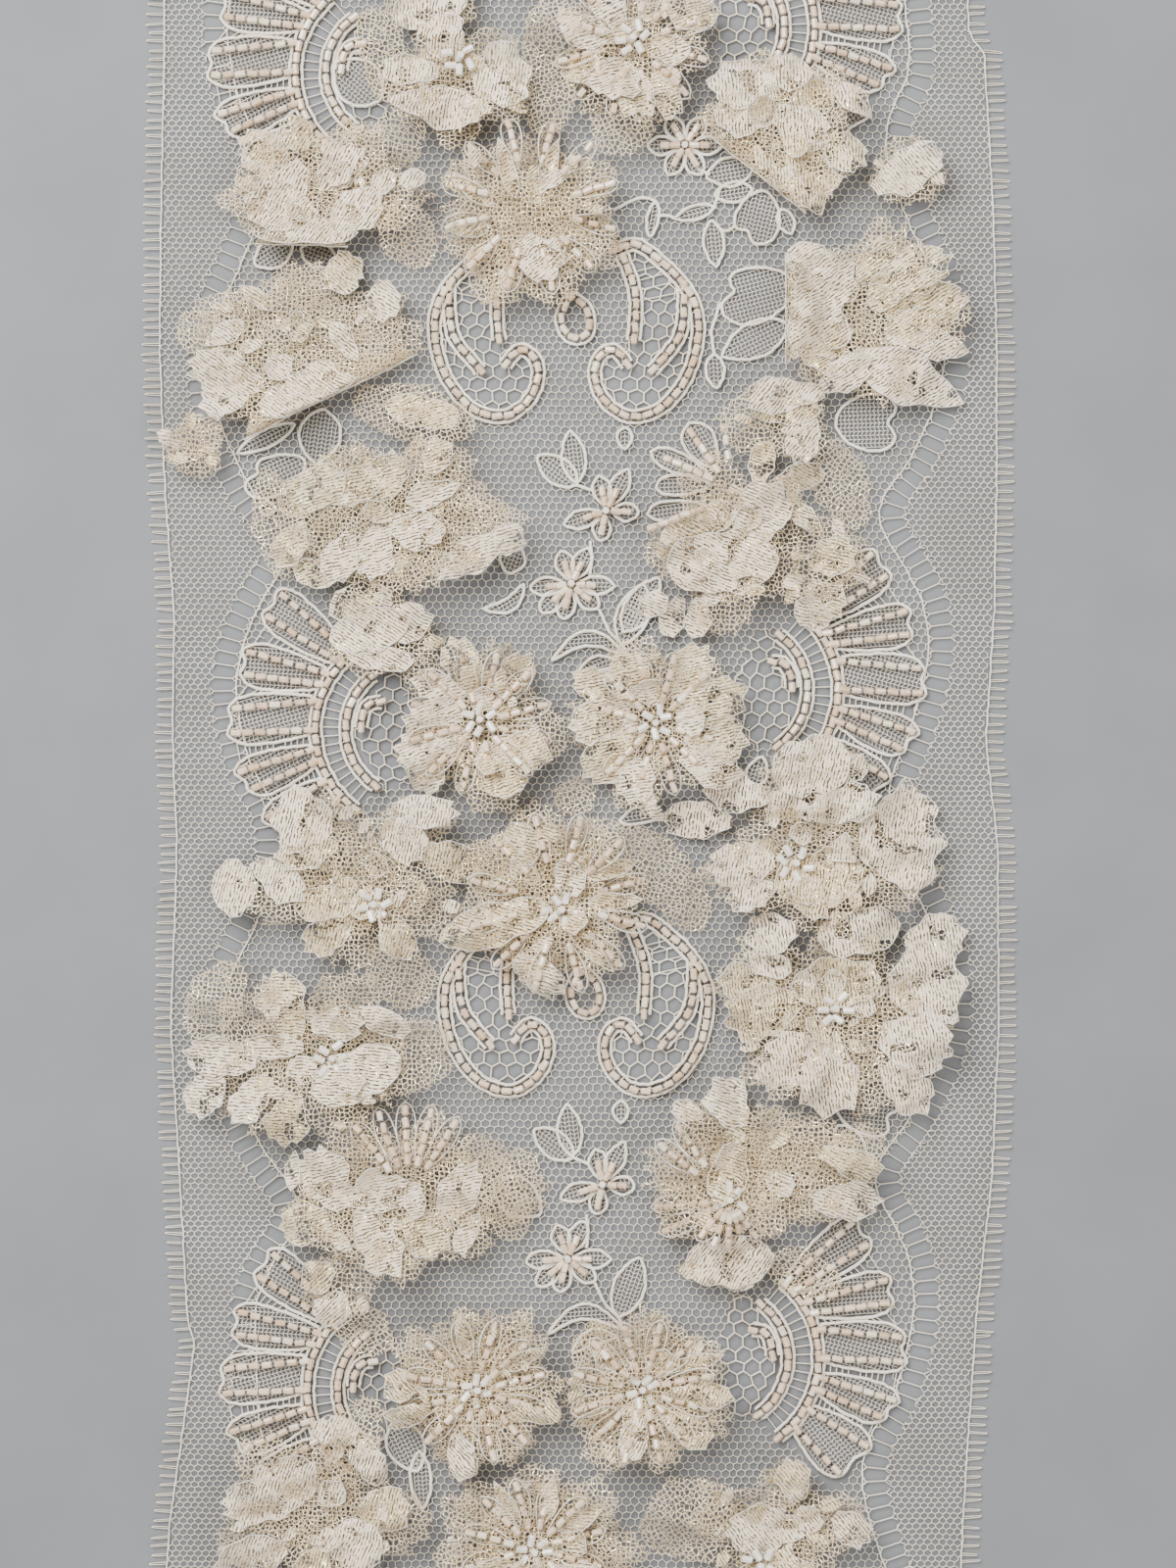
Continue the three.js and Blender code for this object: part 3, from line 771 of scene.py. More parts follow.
# %% [markdown]
# ## The sides of the band
#
# The sides are not straight: the band was parted by hand, so its edge wanders by a few millimetres. The
# scalloped row of slots keeps a repeated depth from that edge. Both are short tables of the same sizes as
# the solids. Straight stretches join the rows of the edge, and a smooth curve those of the scallops.

# %% Edge and scallop lines
LENGTH = 400
HALF_LENGTH = LENGTH / 2
REPEAT = 157
EDGES = [  # along, left thread tips, right thread tips
    (-200, -103, 94), (-175, -101, 95), (-151, -97.7, 96.5), (-132, -95, 97.8),
    (-128, -96.8, 98), (-93, -98.7, 101.9), (-58, -100.8, 103.5), (-14, -99.3, 103.2),
    (10, -100.4, 100.4), (40, -100, 102.4), (70, -102.2, 103), (105, -103.5, 103),
    (140, -103, 102), (174, -102.4, 100), (177, -102.4, 96.5), (200, -102.6, 95.5),
]
SCALLOP = [  # distance from a notch, depth in from the thread tips
    (0, 28.5), (12, 22), (22, 17.5), (35, 15.8), (52, 19), (64, 24.5),
    (74, 25), (88, 20.5), (102, 14.5), (116, 13), (130, 15), (145, 21.5),
]
SCALLOP_STEPS = 10
LEFT, RIGHT = -1, 1
NOTCHES = {LEFT: 56.5, RIGHT: 64}
SIDE_NAMES = {LEFT: "left", RIGHT: "right"}


def smooth_line(points, steps):
    """A smooth curve through points, with a number of steps between each two of them."""
    points = np.asarray(points, float)
    padded = np.concatenate([points[:1], points, points[-1:]])
    share = (np.arange(steps) / steps)[:, None]
    bits = []
    for before, start, end, after in zip(padded, padded[1:], padded[2:], padded[3:]):
        pull = (end - before) / 2
        push = (after - start) / 2
        turn = 2 * start - 2 * end + pull + push
        ease = -3 * start + 3 * end - 2 * pull - push
        bits.append(turn * share**3 + ease * share**2 + pull * share + start)
    return np.concatenate(bits + [points[-1:]])


def edge_at(side, along):
    rows = np.array(EDGES)
    return np.interp(along, rows[:, 0], rows[:, 1 if side == LEFT else 2])


def scallop_line(side):
    points = []
    for turn in (2, 1, 0, -1, -2):
        for down, depth in SCALLOP:
            along = NOTCHES[side] + turn * REPEAT - down
            if abs(along) < HALF_LENGTH:
                points.append((edge_at(side, along) - side * depth, along))
    return smooth_line(points, SCALLOP_STEPS)


SCALLOP_LINES = {side: scallop_line(side) for side in (LEFT, RIGHT)}


def scallop_at(side, along):
    line = SCALLOP_LINES[side][::-1]
    return np.interp(along, line[:, 1], line[:, 0])


print("scallop points:", len(SCALLOP_LINES[LEFT]), len(SCALLOP_LINES[RIGHT]))

# %% [markdown]
# ## Net
#
# The ground is a six-sided net. One function lays out its knots and threads over any rectangle, with a
# little wander, because soft thread never lies evenly. Each stretch of net keeps what lies in its own zone.

# %% Six-sided net
NetSizes = namedtuple("NetSizes", "wide row upright wander")
NET_LEVEL = 0.75
NET_WAVE = 0.12
NET_WAVE_SIZE = 35
NET_WAVE_SEED = 5
NET_DRIFT = 2  # how many times as far the net drifts as each knot wanders
NET_DRIFT_SIZE = 14
DRIFT_WAVES = 4
DRIFT_SIZES = (0.7, 1.6)  # of the size that is asked for
DRIFT_TOP = 2.4  # four waves seldom add up to more


def drift(places, size, seed):
    """A smooth unevenness from about -1 to 1 over the plane, with bumps about as wide as size."""
    chance = np.random.default_rng(seed)
    total = np.zeros(len(places))
    for _ in range(DRIFT_WAVES):
        heading = chance.uniform(0, FULL_TURN)
        wave = size * chance.uniform(*DRIFT_SIZES)
        phase = chance.uniform(0, FULL_TURN)
        run = places[:, 0] * math.cos(heading) + places[:, 1] * math.sin(heading)
        total += np.sin(run * FULL_TURN / wave + phase)
    return total / DRIFT_TOP


def pairs(first, second):
    """Rows of two numbers from two grids."""
    return np.stack([first, second], axis=-1).reshape(-1, 2)


def six_sided_net(low, high, sizes, seed):
    """Knots and threads of a net whose cells are wide across and whose rows are row apart."""
    wide, row, upright, wander = sizes
    columns = int((high[0] - low[0]) / wide) + 2
    rows = int((high[1] - low[1]) / row) + 2
    column, tier = np.meshgrid(np.arange(columns), np.arange(rows))
    across = low[0] + (column + 0.5 * (tier % 2)) * wide
    along = low[1] + tier * row
    peaks = pairs(across, along + row - upright / 2)
    shoulders = pairs(across + wide / 2, along + upright / 2)
    knots = np.concatenate([peaks, shoulders])
    knots = knots + np.random.default_rng(seed).normal(0, wander, knots.shape)
    for axis in (0, 1):
        knots[:, axis] += wander * NET_DRIFT * drift(knots, NET_DRIFT_SIZE, seed + 1 + axis)
    number = np.arange(rows * columns).reshape(rows, columns)
    shoulder = number + rows * columns
    right = [number.ravel(), shoulder.ravel()]
    left = [number[:, 1:].ravel(), shoulder[:, :-1].ravel()]
    below = column[1:] + tier[1:] % 2
    fits = below < columns
    down = [shoulder[1:][fits], number[:-1][tier[1:][fits] - 1, below[fits]]]
    threads = [np.stack(pair, axis=1) for pair in (right, left, down)]
    return knots, np.concatenate(threads)


def add_net(bits, knots, threads, keep, width, heights):
    """Adds the threads whose two knots are both kept. Returns how many there are."""
    kept = threads[keep[threads].all(axis=1)]
    places = np.column_stack([knots, heights])
    add_threads(bits, places[kept[:, 0]], places[kept[:, 1]], width)
    return len(kept)


def ground_heights(knots):
    return NET_LEVEL + NET_WAVE * drift(knots, NET_WAVE_SIZE, NET_WAVE_SEED)


print("level of the net in mm:", NET_LEVEL, "and its wave:", NET_WAVE)

# %% [markdown]
# The margin is the finest net, with cells that are wider than they are high. Its outer knots end where the
# loose thread ends begin, and its inner ones where the slots begin.

# %% Margin nets
MARGIN_SIZES = NetSizes(wide=1.78, row=1.26, upright=0.72, wander=0.05)
THREADS_PER_CELL = 3
MARGIN_SEED = 11
MARGIN_SPANS = {LEFT: 40, RIGHT: 45}  # from past the thread tips to past the slots
PAST_TIPS = 1
SLOT_LENGTH = 5.4
SLOT_OVERLAP = 0.2


def margin_net(side):
    bits = Bits()
    past = side * (max(side * edge_at(side, row[0]) for row in EDGES) + PAST_TIPS)
    first, last = sorted((past, past - side * MARGIN_SPANS[side]))
    low, high = (first, -HALF_LENGTH), (last, HALF_LENGTH)
    knots, threads = six_sided_net(low, high, MARGIN_SIZES, MARGIN_SEED + side)
    outer = edge_at(side, knots[:, 1]) - side * THREAD_END_LENGTH
    inner = scallop_at(side, knots[:, 1]) + side * (SLOT_LENGTH / 2 - SLOT_OVERLAP)
    across = side * knots[:, 0]
    keep = (across < side * outer) & (across > side * inner) & (abs(knots[:, 1]) < HALF_LENGTH)
    count = add_net(bits, knots, threads, keep, NET_THREAD_WIDTH, ground_heights(knots))
    net = new_piece(f"margin_net_{SIDE_NAMES[side]}", bits, [net_thread])
    settle(net, "lace_ground", "ground_lace")


for side in SIDE_NAMES:
    margin_net(side)

# %% [markdown]
# Along each side the cut threads stick out as a comb of narrow loops. They repeat along a line, so they are
# points with a heading for the second tree.

# %% Loose thread ends
THREAD_END_PITCH = 2.05
THREAD_END_WANDER = 0.18
THREAD_END_LEVEL = 0.6
COMB_MARGIN = 1
COMB_SEED = 21


def loose_ends(side):
    along = np.arange(COMB_MARGIN - HALF_LENGTH, HALF_LENGTH - COMB_MARGIN, THREAD_END_PITCH)
    along = along + np.random.default_rng(COMB_SEED + side).normal(0, THREAD_END_WANDER, len(along))
    across = edge_at(side, along) - side * THREAD_END_LENGTH
    places = np.column_stack([across, along, np.full(len(along), THREAD_END_LEVEL)])
    headings = np.tile((side, 0, 0), (len(along), 1))
    comb = point_object(f"loose_ends_{SIDE_NAMES[side]}", places, headings)
    values = {"Shape": thread_end, "Unevenness": 0.12, "Tilt": 0.09, "Seed": 3 + side, "Finish": net_thread}
    grow(comb, shapes_on_points, values)
    settle(comb, "lace_ground", f"thread_ends_{SIDE_NAMES[side]}")


for side in SIDE_NAMES:
    loose_ends(side)

# %% [markdown]
# ## The pattern of the ground
#
# Before any of it is made, the pattern is laid out as lines: strings that take beads, cords, bars, and
# outlines that get a close weave. Each is a list, so that a piece is later made in one go from all its lines.
# The band is a cut length, so a line that runs past its end stops there.

# %% Lists of lines
END_MARGIN = 1.5
LINE_END = HALF_LENGTH - END_MARGIN
CORD_FROM_STRING = 1.45
LEAST_ON_BAND = 1 / 3  # of an outline

strings, cords, bars, outlines = {}, [], [], []


def clipped(line):
    """The part of a line that lies on the band's length."""
    line = np.asarray(line, float)
    return line[abs(line[:, 1]) < LINE_END]


def keep_line(store, line):
    line = clipped(line)
    if len(line) > 1:
        store.append(line)


def left_of(vectors):
    """Flat vectors turned to the left by a right angle."""
    return np.stack([-vectors[..., 1], vectors[..., 0]], axis=-1)


def beside(line, offset):
    """A line moved to its left by an offset."""
    return line + offset * left_of(unit(np.gradient(line, axis=0)))


def keep_string(store, line):
    """Keeps a string of beads and the cords along both its sides."""
    keep_line(store, line)
    for offset in (-CORD_FROM_STRING, CORD_FROM_STRING):
        keep_line(cords, beside(line, offset))


def keep_outline(outline, run):
    """Keeps an outline for the weave. At the cut end of the band it stops there."""
    if (abs(outline[:, 1]) < LINE_END).mean() > LEAST_ON_BAND:
        outlines.append((np.column_stack([outline[:, 0], np.clip(outline[:, 1], -LINE_END, LINE_END)]), run))


print("lines end this far from the middle, in mm:", LINE_END)

# %% [markdown]
# The fans come first. Ten strings of beads spread from a double arc, and a short curl of beads lies inside
# it. Two and two the strings share a woven pod with a cord round it. Short bars bridge the gap between the
# arcs and those between the pods. One layout in angles and radii serves all six fans, turned to either side.

# %% Lines for the fans
Fan = namedtuple("Fan", "side number across along")
FANS = [
    Fan(RIGHT, 1, 32.6, 179.5),
    Fan(RIGHT, 2, 38.1, 22.3),
    Fan(RIGHT, 3, 33.5, -136),
    Fan(LEFT, 1, -44, 168.6),
    Fan(LEFT, 2, -39.3, 12.8),
    Fan(LEFT, 3, -41.2, -143.5),
]
ARCS = [(16, -56, 54), (23.2, -54, 50)]  # radius, first and last angle above the fan's axis
ARC_STEPS = 28
FAN_BAR_ANGLES = range(-52, 51, 6)
RAYS = [  # angle at the outer arc, angle at the tip, reach
    (49, 46, 44), (42, 38, 43), (33, 25.5, 42.5), (26, 18.5, 41), (16, 7, 42),
    (0, -1, 42), (-11, -13.5, 41.5), (-18, -20, 39.5), (-30, -31, 39.5), (-43, -44, 38),
]
FAN_CURL = [(12.3, 0.6), (11.9, 3.6), (10.3, 6.2), (7.6, 6.7)]  # outward, along
CURL_STEPS = 5
POD_SHARES = [0, 0.2, 0.5, 0.85, 1]  # of a string's length
POD_SIDES = [1.1, 1.9, 2.7, 2.9, 2.2]  # from the string to the pod's cord at these shares
POD_PAST_BEADS = 2.2
POD_STEPS = 13
POD_TIP_STEPS = 3
BRIDGES = 11


def fan_place(fan, angle, radius):
    angle = np.radians(angle)
    across = fan.across + fan.side * radius * np.cos(angle)
    return np.stack([across, fan.along + radius * np.sin(angle)], axis=-1)


def fan_ray(fan, ray):
    root, tip, reach = ray
    start = fan_place(fan, root, ARCS[1][0] + BEAD_WIDTH)
    return np.linspace(start, fan_place(fan, tip, reach), POD_STEPS)


def fan_pod(fan, upper, lower):
    """The upper side, the tip and the lower side of the pod round two strings."""
    aside = np.interp(np.linspace(0, 1, POD_STEPS), POD_SHARES, POD_SIDES)[:, None] * fan.side
    ends = np.array([upper[-1], lower[-1]])
    ahead = ends - np.array([upper[0], lower[0]])
    past = ends + POD_PAST_BEADS * ahead / np.linalg.norm(ahead, axis=1, keepdims=True)
    upper_side, lower_side = beside(upper, aside), beside(lower, -aside)
    notch = (ends.mean(axis=0) + past.mean(axis=0)) / 2
    corners = [upper_side[-1], past[0], notch, past[1], lower_side[-1]]
    return upper_side, smooth_line(corners, POD_TIP_STEPS)[1:-1], lower_side


def lay_out_fan(fan):
    store = strings[f"beaded_fan_{SIDE_NAMES[fan.side]}_{fan.number}"] = []
    for radius, first, last in ARCS:
        keep_string(store, fan_place(fan, np.linspace(first, last, ARC_STEPS), radius))
    curl = [(fan.across + fan.side * out, fan.along + up) for out, up in FAN_CURL]
    keep_string(store, smooth_line(curl, CURL_STEPS))
    radii = np.array([radius for radius, _, _ in ARCS])
    for angle in FAN_BAR_ANGLES:
        bars.append(fan_place(fan, angle, radii))
    rays = [fan_ray(fan, ray) for ray in RAYS]
    for ray in rays:
        keep_line(store, ray)
    pods = [fan_pod(fan, upper, lower) for upper, lower in zip(rays[::2], rays[1::2])]
    for upper_side, tip, lower_side in pods:
        outline = np.concatenate([upper_side, tip, lower_side[::-1]])
        keep_outline(outline, tip.mean(axis=0) - upper_side[0])
    places = np.linspace(0, POD_STEPS - 1, BRIDGES).astype(int)[1:]
    for pod, next_pod in zip(pods[:-1], pods[1:]):
        bars.extend(np.stack([pod[2][places], next_pod[0][places]], axis=1))


for fan in FANS:
    lay_out_fan(fan)
print("fan outlines:", len(outlines), "cords:", len(cords))

# %% [markdown]
# Each pair of scrolls mirrors one set of lines: a long hook that curls in at its foot, a shorter line
# inside it, and a stem. A ladder of bars joins hook and stem, and one drop of beads hangs between the two.

# %% Lines for the scrolls
ScrollPair = namedtuple("ScrollPair", "number across along")
SCROLL_PAIRS = [ScrollPair(1, -3, 107), ScrollPair(2, -0.7, -52.8)]
SCROLL_HOOK = [  # outward from the pair's middle line, along
    (11.1, 19.3), (16, 20.9), (20, 18.8), (27.4, 11.8), (31, 4.5), (30.6, -4.5), (27.4, -12.5),
    (21.6, -18.4), (14.5, -19.8), (8.8, -15.8), (6.7, -10), (8, -5.6), (11.4, -4.2), (14.4, -7.6),
]
SCROLL_INNER = [(27.8, 11), (27.7, 4.6), (26.3, -1.7), (20.4, -8.9)]
SCROLL_STEM = [(12.4, 20.2), (15.6, 12.1), (16.5, 6.3), (16, -1.7)]
SCROLL_DROP = [(1, 8.6), (4.6, 5.6), (5.3, 1), (3.4, -1.2), (0.4, -0.6), (-1.2, 3.4), (1, 8.6)]
SCROLL_LADDER = [
    ((15, 14.2), (22.5, 16)), ((15.6, 12), (24, 14.2)), ((16, 9.8), (25.2, 12)), ((16.3, 7.4), (26, 9.4)),
]
SCROLL_STEPS = 8
DROP_STEPS = 6
coarse_zones = []


def lay_out_scroll(pair, side):
    store = strings[f"beaded_scroll_{SIDE_NAMES[side]}_{pair.number}"] = []

    def placed(rows):
        return np.array([(pair.across + side * out, pair.along + up) for out, up in rows])

    for rows in (SCROLL_HOOK, SCROLL_INNER, SCROLL_STEM):
        keep_string(store, smooth_line(placed(rows), SCROLL_STEPS))
    for bar in SCROLL_LADDER:
        bars.append(placed(bar))
    coarse_zones.append(np.concatenate([placed(SCROLL_HOOK), placed(SCROLL_STEM[::-1])]))


for pair in SCROLL_PAIRS:
    for side in SIDE_NAMES:
        lay_out_scroll(pair, side)
    drop = smooth_line([(pair.across + out, pair.along + up) for out, up in SCROLL_DROP], DROP_STEPS)
    strings[f"beaded_scroll_left_{pair.number}"].append(drop)
    cords.append(beside(drop, CORD_FROM_STRING))
print("strings:", sum(len(lines) for lines in strings.values()))

# %% [markdown]
# Between the scrolls grow small leaves and little flowers on stems. The middle sprig is drawn once and laid
# down twice, one repeat apart. A little flower has a white bead in its middle and one short bead on each
# petal.

# %% Lines for the sprigs
Leaf = namedtuple("Leaf", "base tip width bend belly point", defaults=(0, 0.9, 0.75))
LEAF_STEPS = 12
STEM_STEPS = 5
SPRIG_PLACES = [(0, 0), (-0.9, -159.6)]
SPRIG_LEAVES = [
    Leaf((-0.6, 71.3), (-2.1, 83.8), 5.8),
    Leaf((-0.4, 70.9), (-10, 77.8), 6.5),
    Leaf((10.8, 84.6), (10.8, 79.2), 3.7),
    Leaf((10.1, 33.1), (15.3, 47.5), 7.5),
    Leaf((11.4, 30.2), (-6.7, 29), 3.7, -5),
    Leaf((10, 28.5), (-1, 24.5), 3.5, -2),
]
SPRIG_FLOWERS = [  # middle, and the heading and length of each petal
    ((6.4, 64.7), [(101, 8.5), (62, 11.3), (-3, 7.9), (-103, 7.2), (198, 10.5)]),
    ((-1.9, 47.3), [(107, 8.3), (64, 9.7), (-2, 10.4), (-41, 8.8), (-104, 8.6), (185, 10), (222, 10)]),
]
SPRIG_STEMS = [
    [(2.7, 57.7), (3, 53), (2.7, 49.8)],
    [(4.7, 41.4), (7, 36.5), (10.1, 33.1), (11.4, 30.2)],
    [(-0.4, 70.9), (3, 69.6)],
]
LITTLE_PETAL_WIDTH = 4.4
LITTLE_PETAL_BELLY = 1.2
LITTLE_PETAL_START = 1
LITTLE_BEAD_START = 2.3
BEAD_LEVEL = 1 + 0.3 + BEAD_WIDTH / 2  # the ground's thickness, the thread under the bead, half a bead
UPRIGHT = (0, 0, 1)

strings["motifs"] = []
white_places, white_headings = [], []


def leaf_outline(base, tip, width, bend=0, belly=0.9, point=0.75):
    """A closed outline from a base to a tip. belly moves its widest place, bend bows it to the left,
    and a smaller point makes its ends rounder."""
    base, tip = np.asarray(base, float), np.asarray(tip, float)
    run = tip - base
    normal = left_of(run) / np.linalg.norm(run)
    share = np.linspace(0, 1, LEAF_STEPS)
    half = width / 2 * np.sin(np.pi * share**belly) ** point
    spine = base + share[:, None] * run + bend * np.sin(np.pi * share)[:, None] * normal
    left = spine + half[:, None] * normal
    right = spine - half[:, None] * normal
    return np.concatenate([left, right[::-1]])


def lay_out_leaf(leaf, shift=(0, 0)):
    base, tip = np.add(leaf.base, shift), np.add(leaf.tip, shift)
    outlines.append((leaf_outline(base, tip, *leaf[2:]), tip - base))


def toward(place, heading, distance):
    angle = math.radians(heading)
    return np.array([place[0] + distance * math.cos(angle), place[1] + distance * math.sin(angle)])


def lay_out_little_flower(middle, petals, shift=(0, 0)):
    middle = np.add(middle, shift)
    white_places.append((*middle, BEAD_LEVEL))
    white_headings.append(UPRIGHT)
    for heading, length in petals:
        lay_out_leaf(Leaf(
            toward(middle, heading, LITTLE_PETAL_START), toward(middle, heading, length),
            LITTLE_PETAL_WIDTH, belly=LITTLE_PETAL_BELLY,
        ))
        bead_ends = (LITTLE_BEAD_START, LITTLE_BEAD_START + BEAD_LENGTH)
        strings["motifs"].append(np.array([toward(middle, heading, end) for end in bead_ends]))


for shift in SPRIG_PLACES:
    for leaf in SPRIG_LEAVES:
        lay_out_leaf(leaf, shift)
    for middle, petals in SPRIG_FLOWERS:
        lay_out_little_flower(middle, petals, shift)
    for stem in SPRIG_STEMS:
        cords.append(smooth_line(np.add(stem, shift), STEM_STEPS))
print("outlines with the sprigs:", len(outlines))

# %% [markdown]
# Single leaves show beside the upper scrolls, between the flowers and near the slots. The last four plain
# ones are the lobes of a shell. The broad ones have two lobes: an oval drawn in angles, with a notch in it.

# %% Lines for single leaves
SINGLE_LEAVES = [
    Leaf((31.9, 136.7), (22.6, 134.1), 3.4),
    Leaf((31.4, 133.7), (32.5, 122.5), 4.9),
    Leaf((41, 146), (30, 144), 7),
    Leaf((41, 141), (32, 139.5), 5),
    Leaf((47.8, 136.3), (50.3, 130.3), 4),
    Leaf((18.3, 138), (16.6, 129.4), 2.8),
    Leaf((49.5, 109), (33.8, 101.4), 8.5),
    Leaf((32, 101.9), (32.5, 93.7), 4.5),
    Leaf((-67.4, 85.3), (-81.1, 78.4), 4.2),
    Leaf((-60.5, 89), (-62.5, 75.8), 10),
    Leaf((-72.2, 65.3), (-75.8, 65.3), 3.4),
    Leaf((-68, 128.5), (-77, 123), 7),
    Leaf((-66, 127), (-57, 123.5), 6),
    Leaf((-17, 50), (-14.5, 57), 6),
    Leaf((-13, 47.5), (-23, 41.5), 3.2, 2.5),
    Leaf((10.5, 36), (19, 49), 7),
    Leaf((9.5, -9), (20, -7.5), 4, 1),
    Leaf((41, -1), (43.5, 6.5), 5),
    Leaf((61, -81), (68, -90), 6),
    Leaf((-44, -151), (-38, -163), 9),
    Leaf((-38, -158), (-37, -172), 5),
    Leaf((-20, -94), (-9, -102), 9),
    Leaf((-47, 162), (-58, 171), 11),
    Leaf((32.5, 74.5), (26, 85.5), 7.5, 0, 1.5, 0.5),
    Leaf((31, 73), (17, 78.8), 5, 0, 1.5, 0.5),
    Leaf((31.5, 71), (18, 70.6), 5, 0, 1.5, 0.5),
    Leaf((30, 66), (16, 64), 4.6, 0, 1.5, 0.5),
]
LobedLeaf = namedtuple("LobedLeaf", "base tip width notch")
LOBED_LEAVES = [  # the notch is an angle at the leaf's middle, counted to the left of its tip
    LobedLeaf((51, 118.5), (33.2, 113.5), 13, -27),
    LobedLeaf((44, 140.5), (40.8, 128), 10.5, -25),
    LobedLeaf((-65, 76.5), (-79.2, 70), 9, -42),
    LobedLeaf((60.8, 85.5), (76.3, 86), 13.5, -3),
    LobedLeaf((61, -76), (76.5, -77.5), 13, -20),
]
LOBED_STEPS = 40
NOTCH_DEPTH = 0.42
NOTCH_SPREAD = 20
BROADER_AT_TIP = 0.2
SINGLE_STEMS = [
    [(18.4, 134.6), (20.4, 134.9), (22.6, 134.1)],
    [(31.9, 136.5), (33, 139.7), (33.6, 142)],
    [(32, 133.2), (34.3, 131), (37, 132.3)],
    [(18.3, 138), (14.5, 139), (8, 136)],
    [(33.6, 114), (31.5, 108), (32, 101.9)],
    [(31, 144.5), (28, 146), (26.5, 148.5)],
]
SINGLE_FLOWER = ((25, 151.3), [(0, 9), (55, 8), (120, 8), (180, 9), (240, 8), (300, 8)])


def lobed_outline(leaf):
    """An oval that is broader toward its tip, with one notch that parts it into two lobes."""
    base, tip = np.array(leaf.base, float), np.array(leaf.tip, float)
    ahead = (tip - base) / 2
    aside = left_of(ahead) / np.linalg.norm(ahead) * leaf.width / 2
    degrees = np.linspace(-180, 180, LOBED_STEPS, endpoint=False)
    size = 1 - NOTCH_DEPTH * np.exp(-((degrees - leaf.notch) / NOTCH_SPREAD) ** 2)
    turn = np.radians(degrees)
    broad = size * np.sin(turn) * (1 + BROADER_AT_TIP * np.cos(turn))
    return (base + tip) / 2 + np.outer(size * np.cos(turn), ahead) + np.outer(broad, aside)


for leaf in SINGLE_LEAVES:
    lay_out_leaf(leaf)
for leaf in LOBED_LEAVES:
    outlines.append((lobed_outline(leaf), np.subtract(leaf.tip, leaf.base)))
for stem in SINGLE_STEMS:
    cords.append(smooth_line(stem, STEM_STEPS))
lay_out_little_flower(*SINGLE_FLOWER)
print("outlines to weave:", len(outlines))

# %% [markdown]
# ## Where the sewn flowers are
#
# Each sewn flower has a packed solid: a closed sheet from a small sewn foot to a wavy rim. Its middle, its
# reach in each direction and its height are read from that solid, so that what is made here lies where
# the solid does. The ground net is drawn fine only where it shows beside them.

# %% Reading the lying shape of a flower
FOOT_TOUCH = 0.05
PAST_FOOT = 2.7
TOUCH = 0.1
INNER_SHARE = 0.8
RIM_STEPS = 8
MIDDLE_SHARE = 0.56


def far_and_angle(flat):
    """How far away flat places are, and at what angle."""
    return np.hypot(flat[..., 0], flat[..., 1]), np.arctan2(flat[..., 1], flat[..., 0])


class SewnForm:
    """The lying shape of one sewn flower, in millimetres, from its packed solid."""

    def __init__(self, node):
        self.node = node
        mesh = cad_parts[node].data
        points = np.empty(len(mesh.vertices) * 3)
        mesh.vertices.foreach_get("co", points)
        points = points.reshape(-1, 3) / MM
        foot = points[points[:, 2] < points[:, 2].min() + FOOT_TOUCH]
        self.middle = foot[np.linalg.norm(foot[:, :2] - foot[:, :2].mean(axis=0), axis=1).argmin(), :2]
        radius, angle = far_and_angle(points[:, :2] - self.middle)
        spoke = np.round(angle, 2)
        rim = []
        for turn in np.unique(spoke[radius > PAST_FOOT]):
            on_spoke = (spoke == turn) & (radius > PAST_FOOT)
            reach = radius[on_spoke].max()
            outer = on_spoke & (radius > reach - TOUCH)
            inner = on_spoke & (radius < reach * INNER_SHARE)
            rim.append((reach * math.cos(turn), reach * math.sin(turn), points[outer, 2].max()))
            self.shoulder_top = points[inner, 2].max()  # level, so that any spoke tells it
        self.middle_top = points[radius < TOUCH, 2].max()
        rim = np.array(rim + rim[:1])
        share = np.linspace(0, 1, RIM_STEPS, endpoint=False)[:, None, None]
        dense = (rim[:-1] + share * (rim[1:] - rim[:-1])).reshape(-1, 3)
        reaches, angles = far_and_angle(dense)
        order = np.argsort(angles)
        self.angles, self.reaches, self.rims = angles[order], reaches[order], dense[order, 2]

    def reach(self, angle):
        return np.interp(angle, self.angles, self.reaches, period=FULL_TURN)

    def share(self, places):
        """How far out each place is: 0 at the middle, 1 at the rim."""
        radius, angle = far_and_angle(places - self.middle)
        return radius / self.reach(angle)

    def top(self, places):
        """The height of the solid's upper face at each place. Past the rim it stays level."""
        radius, angle = far_and_angle(places - self.middle)
        share = np.clip(radius / self.reach(angle), 0, 1)
        rim = np.interp(angle, self.angles, self.rims, period=FULL_TURN)
        low = self.middle_top + (self.shoulder_top - self.middle_top) * share / MIDDLE_SHARE
        high = self.shoulder_top + (rim - self.shoulder_top) * (share - MIDDLE_SHARE) / (1 - MIDDLE_SHARE)
        return np.where(share < MIDDLE_SHARE, low, high)


FLOWER_COUNT = sum(name.startswith("sewn_flower_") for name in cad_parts)
forms = {number: SewnForm(f"sewn_flower_{number:02d}") for number in range(1, FLOWER_COUNT + 1)}
print("flowers read:", len(forms), "first middle:", forms[1].middle.round(1))

# %% [markdown]
# ## The middle of the ground
#
# The middle net is a little larger and rounder than the margin's. It leaves out the fans and the outlines,
# which have their own threads. Inside the scrolls, at the heart of the fans and under the flowers a second,
# open net with cells nearly twice as wide takes its place. Each net asks its zone which knots to keep.

# %% Zones of the nets
UNDER_FLOWER = 0.72
FAN_ZONES = [(14.4, 25, -56, 52), (25, 41, -50, 52)]  # inner and outer radius, first and last angle
FAN_HEART = [(0, 14.4, -75, 75)]
JOINING_STEPS = np.array([(0, 0), (2, 0), (-2, 0), (0, 2), (0, -2)])


